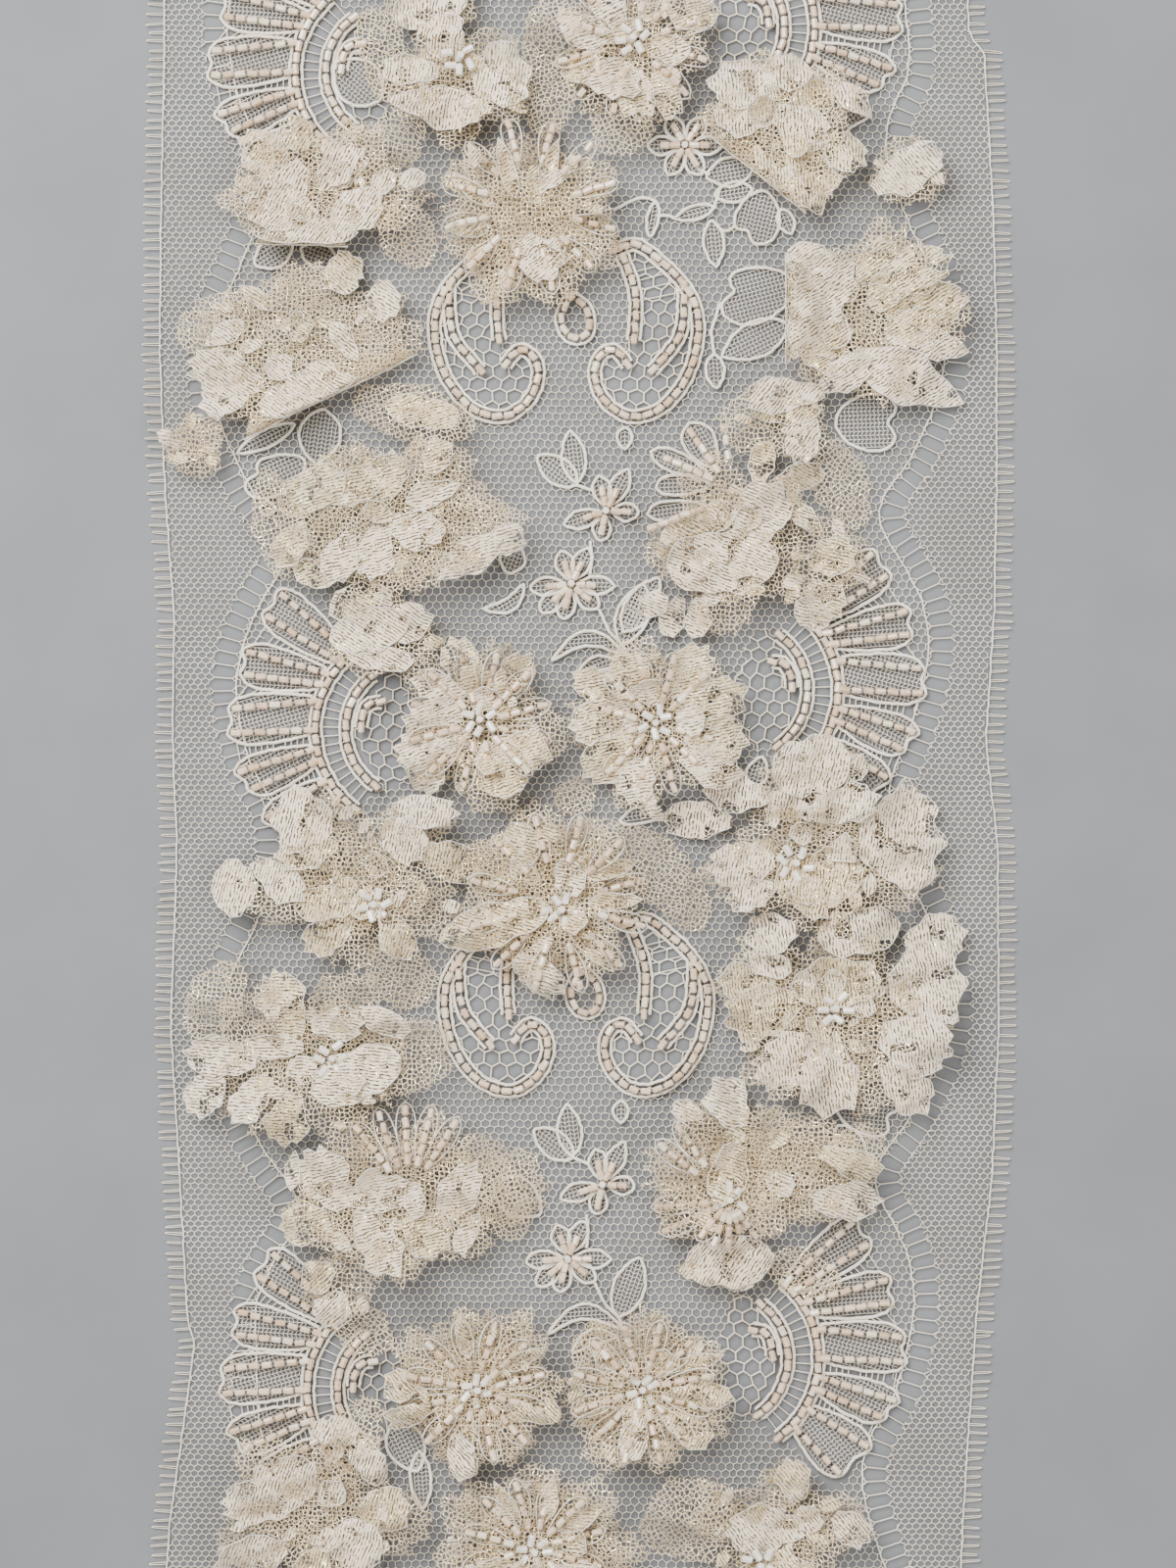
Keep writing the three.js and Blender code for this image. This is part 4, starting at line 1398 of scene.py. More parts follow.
def inside(places, outline):
    """Which places lie inside a closed outline."""
    result = np.zeros(len(places), bool)
    near = (places >= outline.min(axis=0)).all(axis=1) & (places <= outline.max(axis=0)).all(axis=1)
    x, y = places[near].T
    found = np.zeros(near.sum(), bool)
    for (x0, y0), (x1, y1) in zip(outline, np.roll(outline, -1, axis=0)):
        if y0 != y1:
            crosses = (y0 > y) != (y1 > y)
            found ^= crosses & (x < (x1 - x0) * (y - y0) / (y1 - y0) + x0)
    result[near] = found
    return result


def in_fan(places, zones):
    result = np.zeros(len(places), bool)
    for fan in FANS:
        out = fan.side * (places[:, 0] - fan.across)
        up = places[:, 1] - fan.along
        radius, angle = np.hypot(out, up), np.degrees(np.arctan2(up, out))
        for inner, outer, first, last in zones:
            result |= (radius >= inner) & (radius < outer) & (angle > first) & (angle < last)
    return result


def in_any(places, zones):
    return np.any([inside(places, zone) for zone in zones], axis=0)


def under_flowers(places):
    return np.any([form.share(places) < UNDER_FLOWER for form in forms.values()], axis=0)


def between_slots(places):
    left = scallop_at(LEFT, places[:, 1]) + SLOT_LENGTH / 2 - SLOT_OVERLAP
    right = scallop_at(RIGHT, places[:, 1]) - SLOT_LENGTH / 2 + SLOT_OVERLAP
    on_band = abs(places[:, 1]) < HALF_LENGTH
    return (places[:, 0] > left) & (places[:, 0] < right) & on_band


def fine_zone(places):
    taken = in_any(places, [outline for outline, _ in outlines] + coarse_zones)
    return ~(taken | in_fan(places, FAN_ZONES + FAN_HEART) | under_flowers(places))


def coarse_zone(places):
    """The coarse net reaches a little past its zones, so that it joins its neighbours."""
    taken = in_any(places, [outline for outline, _ in outlines])
    wanted = under_flowers(places)
    for step in JOINING_STEPS:
        wanted |= in_any(places + step, coarse_zones) | in_fan(places + step, FAN_HEART)
    return wanted & ~(taken | in_fan(places, FAN_ZONES))


print("zones of open net:", len(coarse_zones), "outlines without net:", len(outlines))

# %% [markdown]
# Both nets come from the function that made the margins, and the open one is the same net, enlarged. There
# are three threads to a cell, so a count of the threads gives the area that is really drawn.

# %% Middle nets
MIDDLE_SIZES = NetSizes(wide=1.95, row=1.66, upright=1.1, wander=0.09)
MIDDLE_REACH = 100  # past the slots on both sides
COARSE_FACTOR = 1.85
OPEN_THREAD_WIDTH = NET_THREAD_WIDTH * 1.9


def middle_net(name, factor, zone_test, width, seed):
    bits = Bits()
    sizes = NetSizes(*(size * factor for size in MIDDLE_SIZES))
    low, high = (-MIDDLE_REACH, -HALF_LENGTH), (MIDDLE_REACH, HALF_LENGTH)
    knots, threads = six_sided_net(low, high, sizes, seed)
    keep = between_slots(knots)
    keep[keep] = zone_test(knots[keep])
    count = add_net(bits, knots, threads, keep, width, ground_heights(knots))
    net = new_piece(name, bits, [net_thread])
    settle(net, "lace_ground", "ground_lace")
    return net, count / THREADS_PER_CELL * sizes.wide * sizes.row * MM * MM


fine_net, fine_area = middle_net("middle_net", 1, fine_zone, NET_THREAD_WIDTH, seed=31)
open_net, open_area = middle_net("open_net", COARSE_FACTOR, coarse_zone, OPEN_THREAD_WIDTH, seed=41)
print("net areas in square metres:", round(fine_area, 4), round(open_area, 4))

# %% [markdown]
# The slots are the gaps between long bars that stand square to the scalloped line. Each bar forks at both
# ends, where its two threads part into the nets. The short bars of the fans and scrolls are threads of the
# same kind, so they are gathered in the same piece.

# %% Bars of the slots and ladders
SLOT_PITCH = 3.1
BAR_WIDTH = 0.42
BAR_HALF = 2.1
FORK_OUT = 3.1
FORK_OVER = 0.8
FORK_WIDTH = NET_THREAD_WIDTH * 1.2
SLOT_FROM_END = 3


def even_points(line, pitch):
    """Points evenly spaced along a line, and the direction of the line at each."""
    steps = np.linalg.norm(np.diff(line, axis=0), axis=1)
    run = np.concatenate([[0], np.cumsum(steps)])
    places = np.linspace(0, run[-1], int(run[-1] / pitch) + 1)
    points = np.column_stack([np.interp(places, run, line[:, axis]) for axis in (0, 1)])
    return points, unit(np.gradient(points, axis=0))


def level(line, height):
    return np.column_stack([line, np.full(len(line), height)])


def slot_bars(bits, side):
    points, along = even_points(SCALLOP_LINES[side], SLOT_PITCH)
    on_band = abs(points[:, 1]) < HALF_LENGTH - SLOT_FROM_END
    points, along = points[on_band], along[on_band]
    across = left_of(along)
    ends_in, ends_out = points - across * BAR_HALF, points + across * BAR_HALF
    add_threads(bits, level(ends_in, NET_LEVEL), level(ends_out, NET_LEVEL), BAR_WIDTH)
    for end, sign in ((ends_in, -1), (ends_out, 1)):
        for over in (-FORK_OVER, FORK_OVER):
            fork = points + across * FORK_OUT * sign + along * over
            add_threads(bits, level(end, NET_LEVEL), level(fork, NET_LEVEL), FORK_WIDTH)
    return len(points)


bar_bits = Bits()
slot_count = sum(slot_bars(bar_bits, side) for side in SIDE_NAMES)
for bar in bars:
    if len(clipped(bar)) == len(bar):
        add_line(bar_bits, level(bar, NET_LEVEL), BAR_WIDTH)
settle(new_piece("slot_bars", bar_bits, [net_thread]), "lace_ground", "ground_lace")
print("slots:", slot_count)

# %% [markdown]
# Inside each outline lies a close weave: straight rows of fine thread, and others that zigzag from row to
# row. They are laid out in each outline's own direction and cut off at its cord.

# %% Close weave inside the outlines
WEAVE_ROW = 0.95
WEAVE_COLUMN = 1.0
WEAVE_WIDTH = 0.26


def add_weave(bits, outline, run):
    run = unit(run)
    turn = np.array([run, left_of(run)])
    local = (outline - outline.mean(axis=0)) @ turn.T
    low, high = local.min(axis=0), local.max(axis=0)
    columns = np.arange(low[0], high[0], WEAVE_COLUMN)
    rows = np.arange(low[1], high[1], WEAVE_ROW)
    x, y = np.meshgrid(columns, rows)
    knots = np.stack([x + 0.5 * WEAVE_COLUMN * (np.arange(len(rows))[:, None] % 2), y], axis=-1)
    places = knots.reshape(-1, 2) @ turn + outline.mean(axis=0)
    keep = inside(places, outline)
    number = np.arange(x.size).reshape(x.shape)
    rows_of = np.stack([number[:, :-1].ravel(), number[:, 1:].ravel()], axis=1)
    columns_of = np.stack([number[:-1].ravel(), number[1:].ravel()], axis=1)
    threads = np.concatenate([rows_of, columns_of])
    add_net(bits, places, threads, keep, WEAVE_WIDTH, np.full(len(places), NET_LEVEL))


weave_bits = Bits()
for outline, run in outlines:
    add_weave(weave_bits, outline, run)
settle(new_piece("close_weave", weave_bits, [weave_thread]), "lace_ground", "ground_lace")

# %% [markdown]
# A white cord is worked round every outline and along both sides of the beads. A finer one runs along the
# slots and where the thread ends begin. Both follow lines, so the cord tree makes them.

# %% White outline cords
CORD_LEVEL = 1.0
SLOT_CORD_OFFSET = 3.2
SIDE_STEPS = 160
CUT_TOUCH = 0.01
CORD_VALUES = {
    "Thickness": 0.84 * MM, "Step": 0.95 * MM, "Wander": 0.8 * MM, "Sides": 5, "Finish": white_cord,
}
FINE_CORD_VALUES = {**CORD_VALUES, "Thickness": 0.4 * MM, "Step": 1.6 * MM, "Sides": 4}


def cord_line(outline):
    """The line of the cord round an outline, open where the band is cut."""
    cut = abs(outline[:, 1]) > LINE_END - CUT_TOUCH
    if not cut.any():
        return np.concatenate([outline, outline[:1]])
    first = np.flatnonzero(cut & ~np.roll(cut, -1))[-1] + 1
    return np.roll(outline, -first, axis=0)[:(~cut).sum()]


def side_line(side):
    """Where the net ends and the loose thread ends begin."""
    along = np.linspace(-LINE_END, LINE_END, SIDE_STEPS)
    return np.column_stack([edge_at(side, along) - side * THREAD_END_LENGTH, along])


def cord_piece(name, lines, height, values):
    holder = line_object(name, [level(line, height) for line in lines])
    settle(grow(holder, cords_on_lines, values), "lace_ground", "ground_lace")


cord_piece("outline_cords", cords + [cord_line(outline) for outline, _ in outlines], CORD_LEVEL, CORD_VALUES)
slot_lines = [clipped(beside(SCALLOP_LINES[side], -side * SLOT_CORD_OFFSET)) for side in SIDE_NAMES]
side_lines = [side_line(side) for side in SIDE_NAMES]
cord_piece("slot_threads", slot_lines + side_lines, NET_LEVEL, FINE_CORD_VALUES)

# %% [markdown]
# ## Beads
#
# The short beads follow the strings of the fans, the scrolls and the little flowers. The first tree spaces
# them nearly end to end. A sewn bead never lies quite straight, so each gets a small tilt and a size of its
# own.

# %% Beads on strings
BEAD_VALUES = {
    "Shape": short_bead, "Spacing": 2.78 * MM, "Unevenness": 0.07, "Tilt": 0.16, "Finish": blush_bead,
}


def bead_piece(name, lines, seed, *nodes):
    values = {**BEAD_VALUES, "Seed": seed}
    settle(grow(line_object(name, lines), beads_on_strings, values, smooth=False), "beads", *nodes)


for seed, (node, lines) in enumerate(strings.items()):
    lines = [level(line, BEAD_LEVEL) for line in lines]
    if node == "motifs":
        bead_piece("motif_beads", lines, seed)
    else:
        bead_piece(f"{node}_beads", lines, seed, node)

# %% [markdown]
# ## Sewn flowers
#
# Each flower was cut from a crumpled lace and caught down by a few stitches at its middle. Its ground is a
# veil of fine net with gold foil in it. Closely woven patches lie on the veil and follow its pleats, and a
# few petals stand free above it. Where a flower was folded over, the veil rolls under along the fold.
# One object lays flat places down on this crumpled sheet, and the veil and the patches both use it.

# %% The crumpled sheet
FOLDS = {  # the two ends of the straight fold of each folded flower
    3: ((31.8, 151.9), (53.4, 134.4)),
    5: ((-76, 127), (-54.5, 126.3)),
    7: ((48.6, 124.7), (48.6, 98.9)),
    8: ((-78.6, 81.2), (-38.4, 101.3)),
}
ROLL_RADIUS = 2.2
FOLD_FADE = 4  # past its ends
FOLD_CALM = 8  # before it, where the pleats flatten
UNDER_FOLD = 9  # how far a veil goes on under it
UNDER_TAPER = 8  # from its ends to where the veil goes on so far
LEAST_FACING = 0.05  # a spoke that hardly faces the fold keeps its reach
DROOP = 0.5  # of what lies past the form's rim
LOWEST, HIGHEST = 1.5, 12.8
LEAST_PLEATS, MOST_PLEATS = 6, 9
PLEAT_SWIRL = 1.4  # how far pleats lean round on their way out
PLEAT_POWER = 1.4  # above one, so that they deepen toward the rim
PLEATS_END = 1.1  # share of the reach past which they grow no deeper
PLEAT_LOST_IN_FOLD = 0.75
CRUMPLES = [(0.8, 8), (0.4, 3.6)]  # height and size


class SewnSheet:
    """A crumpled sheet of lace on a flower's form. It lays flat places down as points in space."""

    def __init__(self, form, fold, seed, lift, depth):
        chance = np.random.default_rng(seed)
        self.form = form
        self.seed = seed
        self.lift = lift
        self.depth = depth
        self.pleats = chance.integers(LEAST_PLEATS, MOST_PLEATS + 1)
        self.phase = chance.uniform(0, FULL_TURN, 2)
        self.out, self.along, self.fold_at, self.ends = np.zeros(2), np.zeros(2), np.inf, None
        if fold:
            self.ends = np.array(fold) - form.middle
            run = self.ends[1] - self.ends[0]
            self.along = run / np.linalg.norm(run)
            self.out = np.array([run[1], -run[0]]) / np.linalg.norm(run)
            self.out = self.out * np.sign(self.out @ self.ends[0])
            self.fold_at = self.out @ self.ends[0] - ROLL_RADIUS

    def beside_fold(self, flat):
        """From 1 beside the fold to 0 a little past its ends."""
        if self.ends is None:
            return np.zeros(len(flat))
        place = flat @ self.along
        first, last = self.ends @ self.along
        return np.clip(1 - np.maximum(first - place, place - last) / FOLD_FADE, 0, 1)

    def veil_rim(self, angles, rim):
        """The reach of a veil. Beside the fold it goes on to that line and under it."""
        if self.ends is None:
            return rim
        spokes = np.column_stack([np.cos(angles), np.sin(angles)])
        facing = spokes @ self.out
        crossing = (self.fold_at + ROLL_RADIUS) / np.maximum(facing, LEAST_FACING)
        place = crossing * (spokes @ self.along)
        first, last = self.ends @ self.along
        inward = np.minimum(place - first, last - place)
        under = UNDER_FOLD * np.minimum(inward / UNDER_TAPER, 1)
        return np.where((inward > 0) & (facing > LEAST_FACING), crossing + under, rim)

    def lay(self, flat):
        """Points for flat places, which are measured from the flower's middle."""
        radius, angle = far_and_angle(flat)
        reach = self.form.reach(angle)
        ahead = flat @ self.out - self.fold_at
        past = np.maximum(ahead, 0) * self.beside_fold(flat)
        half_turn = np.minimum(past / ROLL_RADIUS, np.pi)
        back = np.maximum(past - np.pi * ROLL_RADIUS, 0)
        rolled = ROLL_RADIUS * np.sin(half_turn) - back - past
        fold = np.clip(1 + ahead / FOLD_CALM, 0, 1) * self.beside_fold(flat)
        places = self.form.middle + flat + rolled[:, None] * self.out
        share = np.minimum(radius / reach, PLEATS_END)
        wander = np.sin(2 * angle + self.phase[1]) + PLEAT_SWIRL * share
        pleat = np.sin(self.pleats * angle + self.phase[0] + wander) * (1 - PLEAT_LOST_IN_FOLD * fold)
        height = self.form.top(places) + self.lift + self.depth * share**PLEAT_POWER * pleat
        height += sum(high * drift(places, size, self.seed + n) for n, (high, size) in enumerate(CRUMPLES))
        height -= ROLL_RADIUS * (1 - np.cos(half_turn)) + DROOP * np.maximum(radius - reach, 0) * (1 - fold)
        return np.column_stack([places, np.clip(height, LOWEST, HIGHEST)])


print("folded flowers:", list(FOLDS), "pleats:", LEAST_PLEATS, "to", MOST_PLEATS)

# %% [markdown]
# A veil is a round of net on the sheet, ragged where it was cut. A grid of spokes and rings follows any rim,
# and it carries a flat map in millimetres for its finish.

# %% Veils
SATIN, GILT, VEIL = 0, 1, 2
FLOWER_FINISHES = [satin_petal, gold_petal, gold_veil]
VEIL_SPOKES = 84
VEIL_RINGS = 15
VEIL_HOLE = 0.01
VEIL_RAGGEDNESS = 0.05
VEIL_SEED = 9
MAP_SHIFT = 50  # takes each bit to another place in the patterns of its finish


def add_veil(bits, sheet, size):
    """A ragged round of net on a sheet. Returns its flat area in square millimetres."""
    chance = np.random.default_rng(sheet.seed + VEIL_SEED)
    angles = np.linspace(-np.pi, np.pi, VEIL_SPOKES, endpoint=False)
    ragged = 1 + VEIL_RAGGEDNESS * chance.normal(0, 1, VEIL_SPOKES)
    rim = sheet.veil_rim(angles, sheet.form.reach(angles) * size * ragged)
    rings = np.linspace(VEIL_HOLE, 1, VEIL_RINGS)[:, None] * rim
    flat = pairs(rings * np.cos(angles), rings * np.sin(angles))
    number = np.arange(len(flat)).reshape(VEIL_RINGS, VEIL_SPOKES)
    after = np.roll(number, -1, axis=1)
    faces = np.stack([number[:-1], number[1:], after[1:], after[:-1]], axis=-1).reshape(-1, 4)
    bits.add(sheet.lay(flat), faces, VEIL, PLAIN_TONE, flat + chance.uniform(0, MAP_SHIFT, 2))
    return float(0.5 * (rim * np.roll(rim, -1) * math.sin(FULL_TURN / VEIL_SPOKES)).sum())


print("points of one veil:", VEIL_SPOKES * VEIL_RINGS)

# %% [markdown]
# A patch is a small woven grid with a petal's, a leaf's or a round outline, and a thread is sewn along the
# edge of the larger ones. One flat face would be lighter, but only a grid can follow the crumpled sheet.

# %% Outlines and hems
PETAL, POINTED, ROUND = "petal", "leaf", "round"
PATCH_STEP = 1.3
LEAST_STEPS = 5
LOBE_DEPTH = 0.07
LOBE_COUNTS = (2, 3.8)
LOBE_SHIFT = 0.8
ROUNDED_TIP = 0.3
TIP_POWER = 2.4  # a higher one leaves more of the tip level
ROOT_WIDTH = 0.3
FULL_WIDTH_FROM = 0.62
POINTED_POWER = 0.8  # below one, so that a leaf is full between its points
EDGE_WAVES = [(0.09, 11), (0.06, 23)]  # depth, and waves in the length
ANY_PHASE = 6
HEM_WIDTH = 0.36


def petal_outline(shape, length, width, chance):
    """Flat grids of how far ahead and how far over each point of a petal is."""
    rows, columns = (max(LEAST_STEPS, int(size / PATCH_STEP)) for size in (length, width))
    far = np.linspace(0, 1, rows + 1)[:, None]
    aside = np.linspace(-1, 1, columns + 1)[None, :]
    run = far * np.ones_like(aside)
    if shape == PETAL:
        count, shift = chance.uniform(*LOBE_COUNTS), chance.uniform(-LOBE_SHIFT, LOBE_SHIFT)
        lobes = LOBE_DEPTH * np.cos(count * np.pi * aside + shift)
        run = far * (1 - ROUNDED_TIP * abs(aside) ** TIP_POWER + lobes)
        fullness = np.sin(np.pi / 2 * np.clip(run / FULL_WIDTH_FROM, 0, 1))
        half = ROOT_WIDTH + (1 - ROOT_WIDTH) * fullness
    elif shape == POINTED:
        half = np.sin(np.pi * run**POINTED_POWER) ** POINTED_POWER
    else:
        half = np.sqrt(np.clip(1 - (2 * run - 1) ** 2, 0, 1))
    waves = sum(depth * np.sin(run * count + chance.uniform(0, ANY_PHASE)) for depth, count in EDGE_WAVES)
    return run * length, aside * half * width / 2 * (1 + waves)


def flat_area(ahead, over):
    wide = over[:, -1] - over[:, 0]
    return float(abs((wide[1:] + wide[:-1]) / 2 * np.diff(ahead, axis=0).mean(axis=1)).sum())


hem_bits = Bits()


def add_hem(points, number):
    """A thread along both sides and the tip of a patch."""
    border = np.concatenate([number[:, 0], number[-1, 1:-1], number[::-1, -1]])
    add_line(hem_bits, points[border], HEM_WIDTH)


print("step of a patch in mm:", PATCH_STEP, "width of a hem:", HEM_WIDTH)

# %% [markdown]
# A patch lies on the sheet. A petal that stands free rises from its root, bends along its length and ruffles
# toward its tip. Both carry a flat map in millimetres, turned to the direction in which the lace of that
# flower was woven, so that all its rows agree.

# %% Patches and standing petals
PATCH_LIFT = 0.18
SIDE_LIFT = 0.25
HEM_FROM_WIDTH = 3.9
BEND_STEPS = 40
BEND_POWER = 1.5
LOBES_REACH = 1.15  # of a petal's length, with its lobes
RUFFLES = [(1, 4.5), (0.6, 9)]  # height, and waves across half the width
ROOT_LIFT = 1.2

Patch = namedtuple("Patch", "place heading length width shape finish rise tone")
Petal = namedtuple("Petal", "heading root length width start end cup ruffle finish tone")


def grid_faces(grid):
    number = np.arange(grid.size).reshape(grid.shape)
    faces = np.stack([number[:-1, :-1], number[1:, :-1], number[1:, 1:], number[:-1, 1:]], axis=-1)
    return faces.reshape(-1, 4), number


def turned(flat, degrees):
    turn = math.radians(degrees)
    return flat @ np.array([(math.cos(turn), math.sin(turn)), (-math.sin(turn), math.cos(turn))])


def add_patch(bits, sheet, patch, warp, seed):
    """A woven patch on a sheet. Its tip lifts by rise. Returns its flat area in square millimetres."""
    chance = np.random.default_rng(seed)
    ahead, over = petal_outline(patch.shape, patch.length, patch.width, chance)
    flat = turned(pairs(ahead, over), patch.heading) + patch.place
    points = sheet.lay(flat)
    run = ahead.ravel() / patch.length
    aside = over.ravel() / patch.width * 2
    points[:, 2] += PATCH_LIFT + patch.rise * run**2 + SIDE_LIFT * aside**2
    points[:, 2] = np.minimum(points[:, 2], HIGHEST)
    faces, number = grid_faces(ahead)
    bits.add(points, faces, patch.finish, patch.tone, turned(flat, -warp) + chance.uniform(0, MAP_SHIFT, 2))
    if patch.width > HEM_FROM_WIDTH and patch.finish != VEIL:
        add_hem(points, number)
    return flat_area(ahead, over)


def add_petal(bits, form, petal, warp, seed):
    """A petal that stands free. start and end are its slopes in degrees. Returns its flat area."""
    chance = np.random.default_rng(seed)
    ahead, over = petal_outline(PETAL, petal.length, petal.width, chance)
    shares = np.linspace(0, LOBES_REACH, BEND_STEPS)
    run = petal.length * shares
    slope = np.radians(petal.start + (petal.end - petal.start) * shares[:-1] ** BEND_POWER)
    steps = run[1] * np.array([np.cos(slope), np.sin(slope)])
    out, up = (np.interp(ahead, run, np.concatenate([[0], np.cumsum(step)])) for step in steps)
    flat = turned(pairs(out + petal.root, over), petal.heading)
    share = ahead / petal.length
    aside = over / petal.width * 2
    wave = sum(high * np.sin(aside * count + chance.uniform(0, ANY_PHASE)) for high, count in RUFFLES)
    root_place = form.middle + turned(np.array([[petal.root, 0.0]]), petal.heading)
    base = form.top(root_place)[0] + ROOT_LIFT
    height = base + up + petal.cup * aside**2 * share + petal.ruffle * wave * share**2
    points = np.column_stack([flat + form.middle, np.clip(height.ravel(), LOWEST, HIGHEST)])
    faces, number = grid_faces(ahead)
    flat_map = turned(pairs(ahead, over), petal.heading - warp)
    bits.add(points, faces, petal.finish, petal.tone, flat_map + chance.uniform(0, MAP_SHIFT, 2))
    add_hem(points, number)
    return flat_area(ahead, over)


print("what a patch holds:", Patch._fields)

# %% [markdown]
# The larger patches are set down one by one, from a base to a tip, where they lie on the band. They are
# ordinary petals, pointed leaves and round discs of a cut lace. Each shape in each finish has a short
# function of its own, so that a row holds only numbers.

# %% Patches set down one by one
CUT_RISE = 0.4


def cutter(shape, finish):
    """A function that sets one patch of a shape and a finish down on the band."""
    def cut(x, y, tip_x, tip_y, width, rise=CUT_RISE):
        run = np.array((tip_x - x, tip_y - y))
        heading = math.degrees(math.atan2(run[1], run[0]))
        return Patch(np.array((x, y)), heading, np.linalg.norm(run), width, shape, finish, rise, PLAIN_TONE)

    return cut


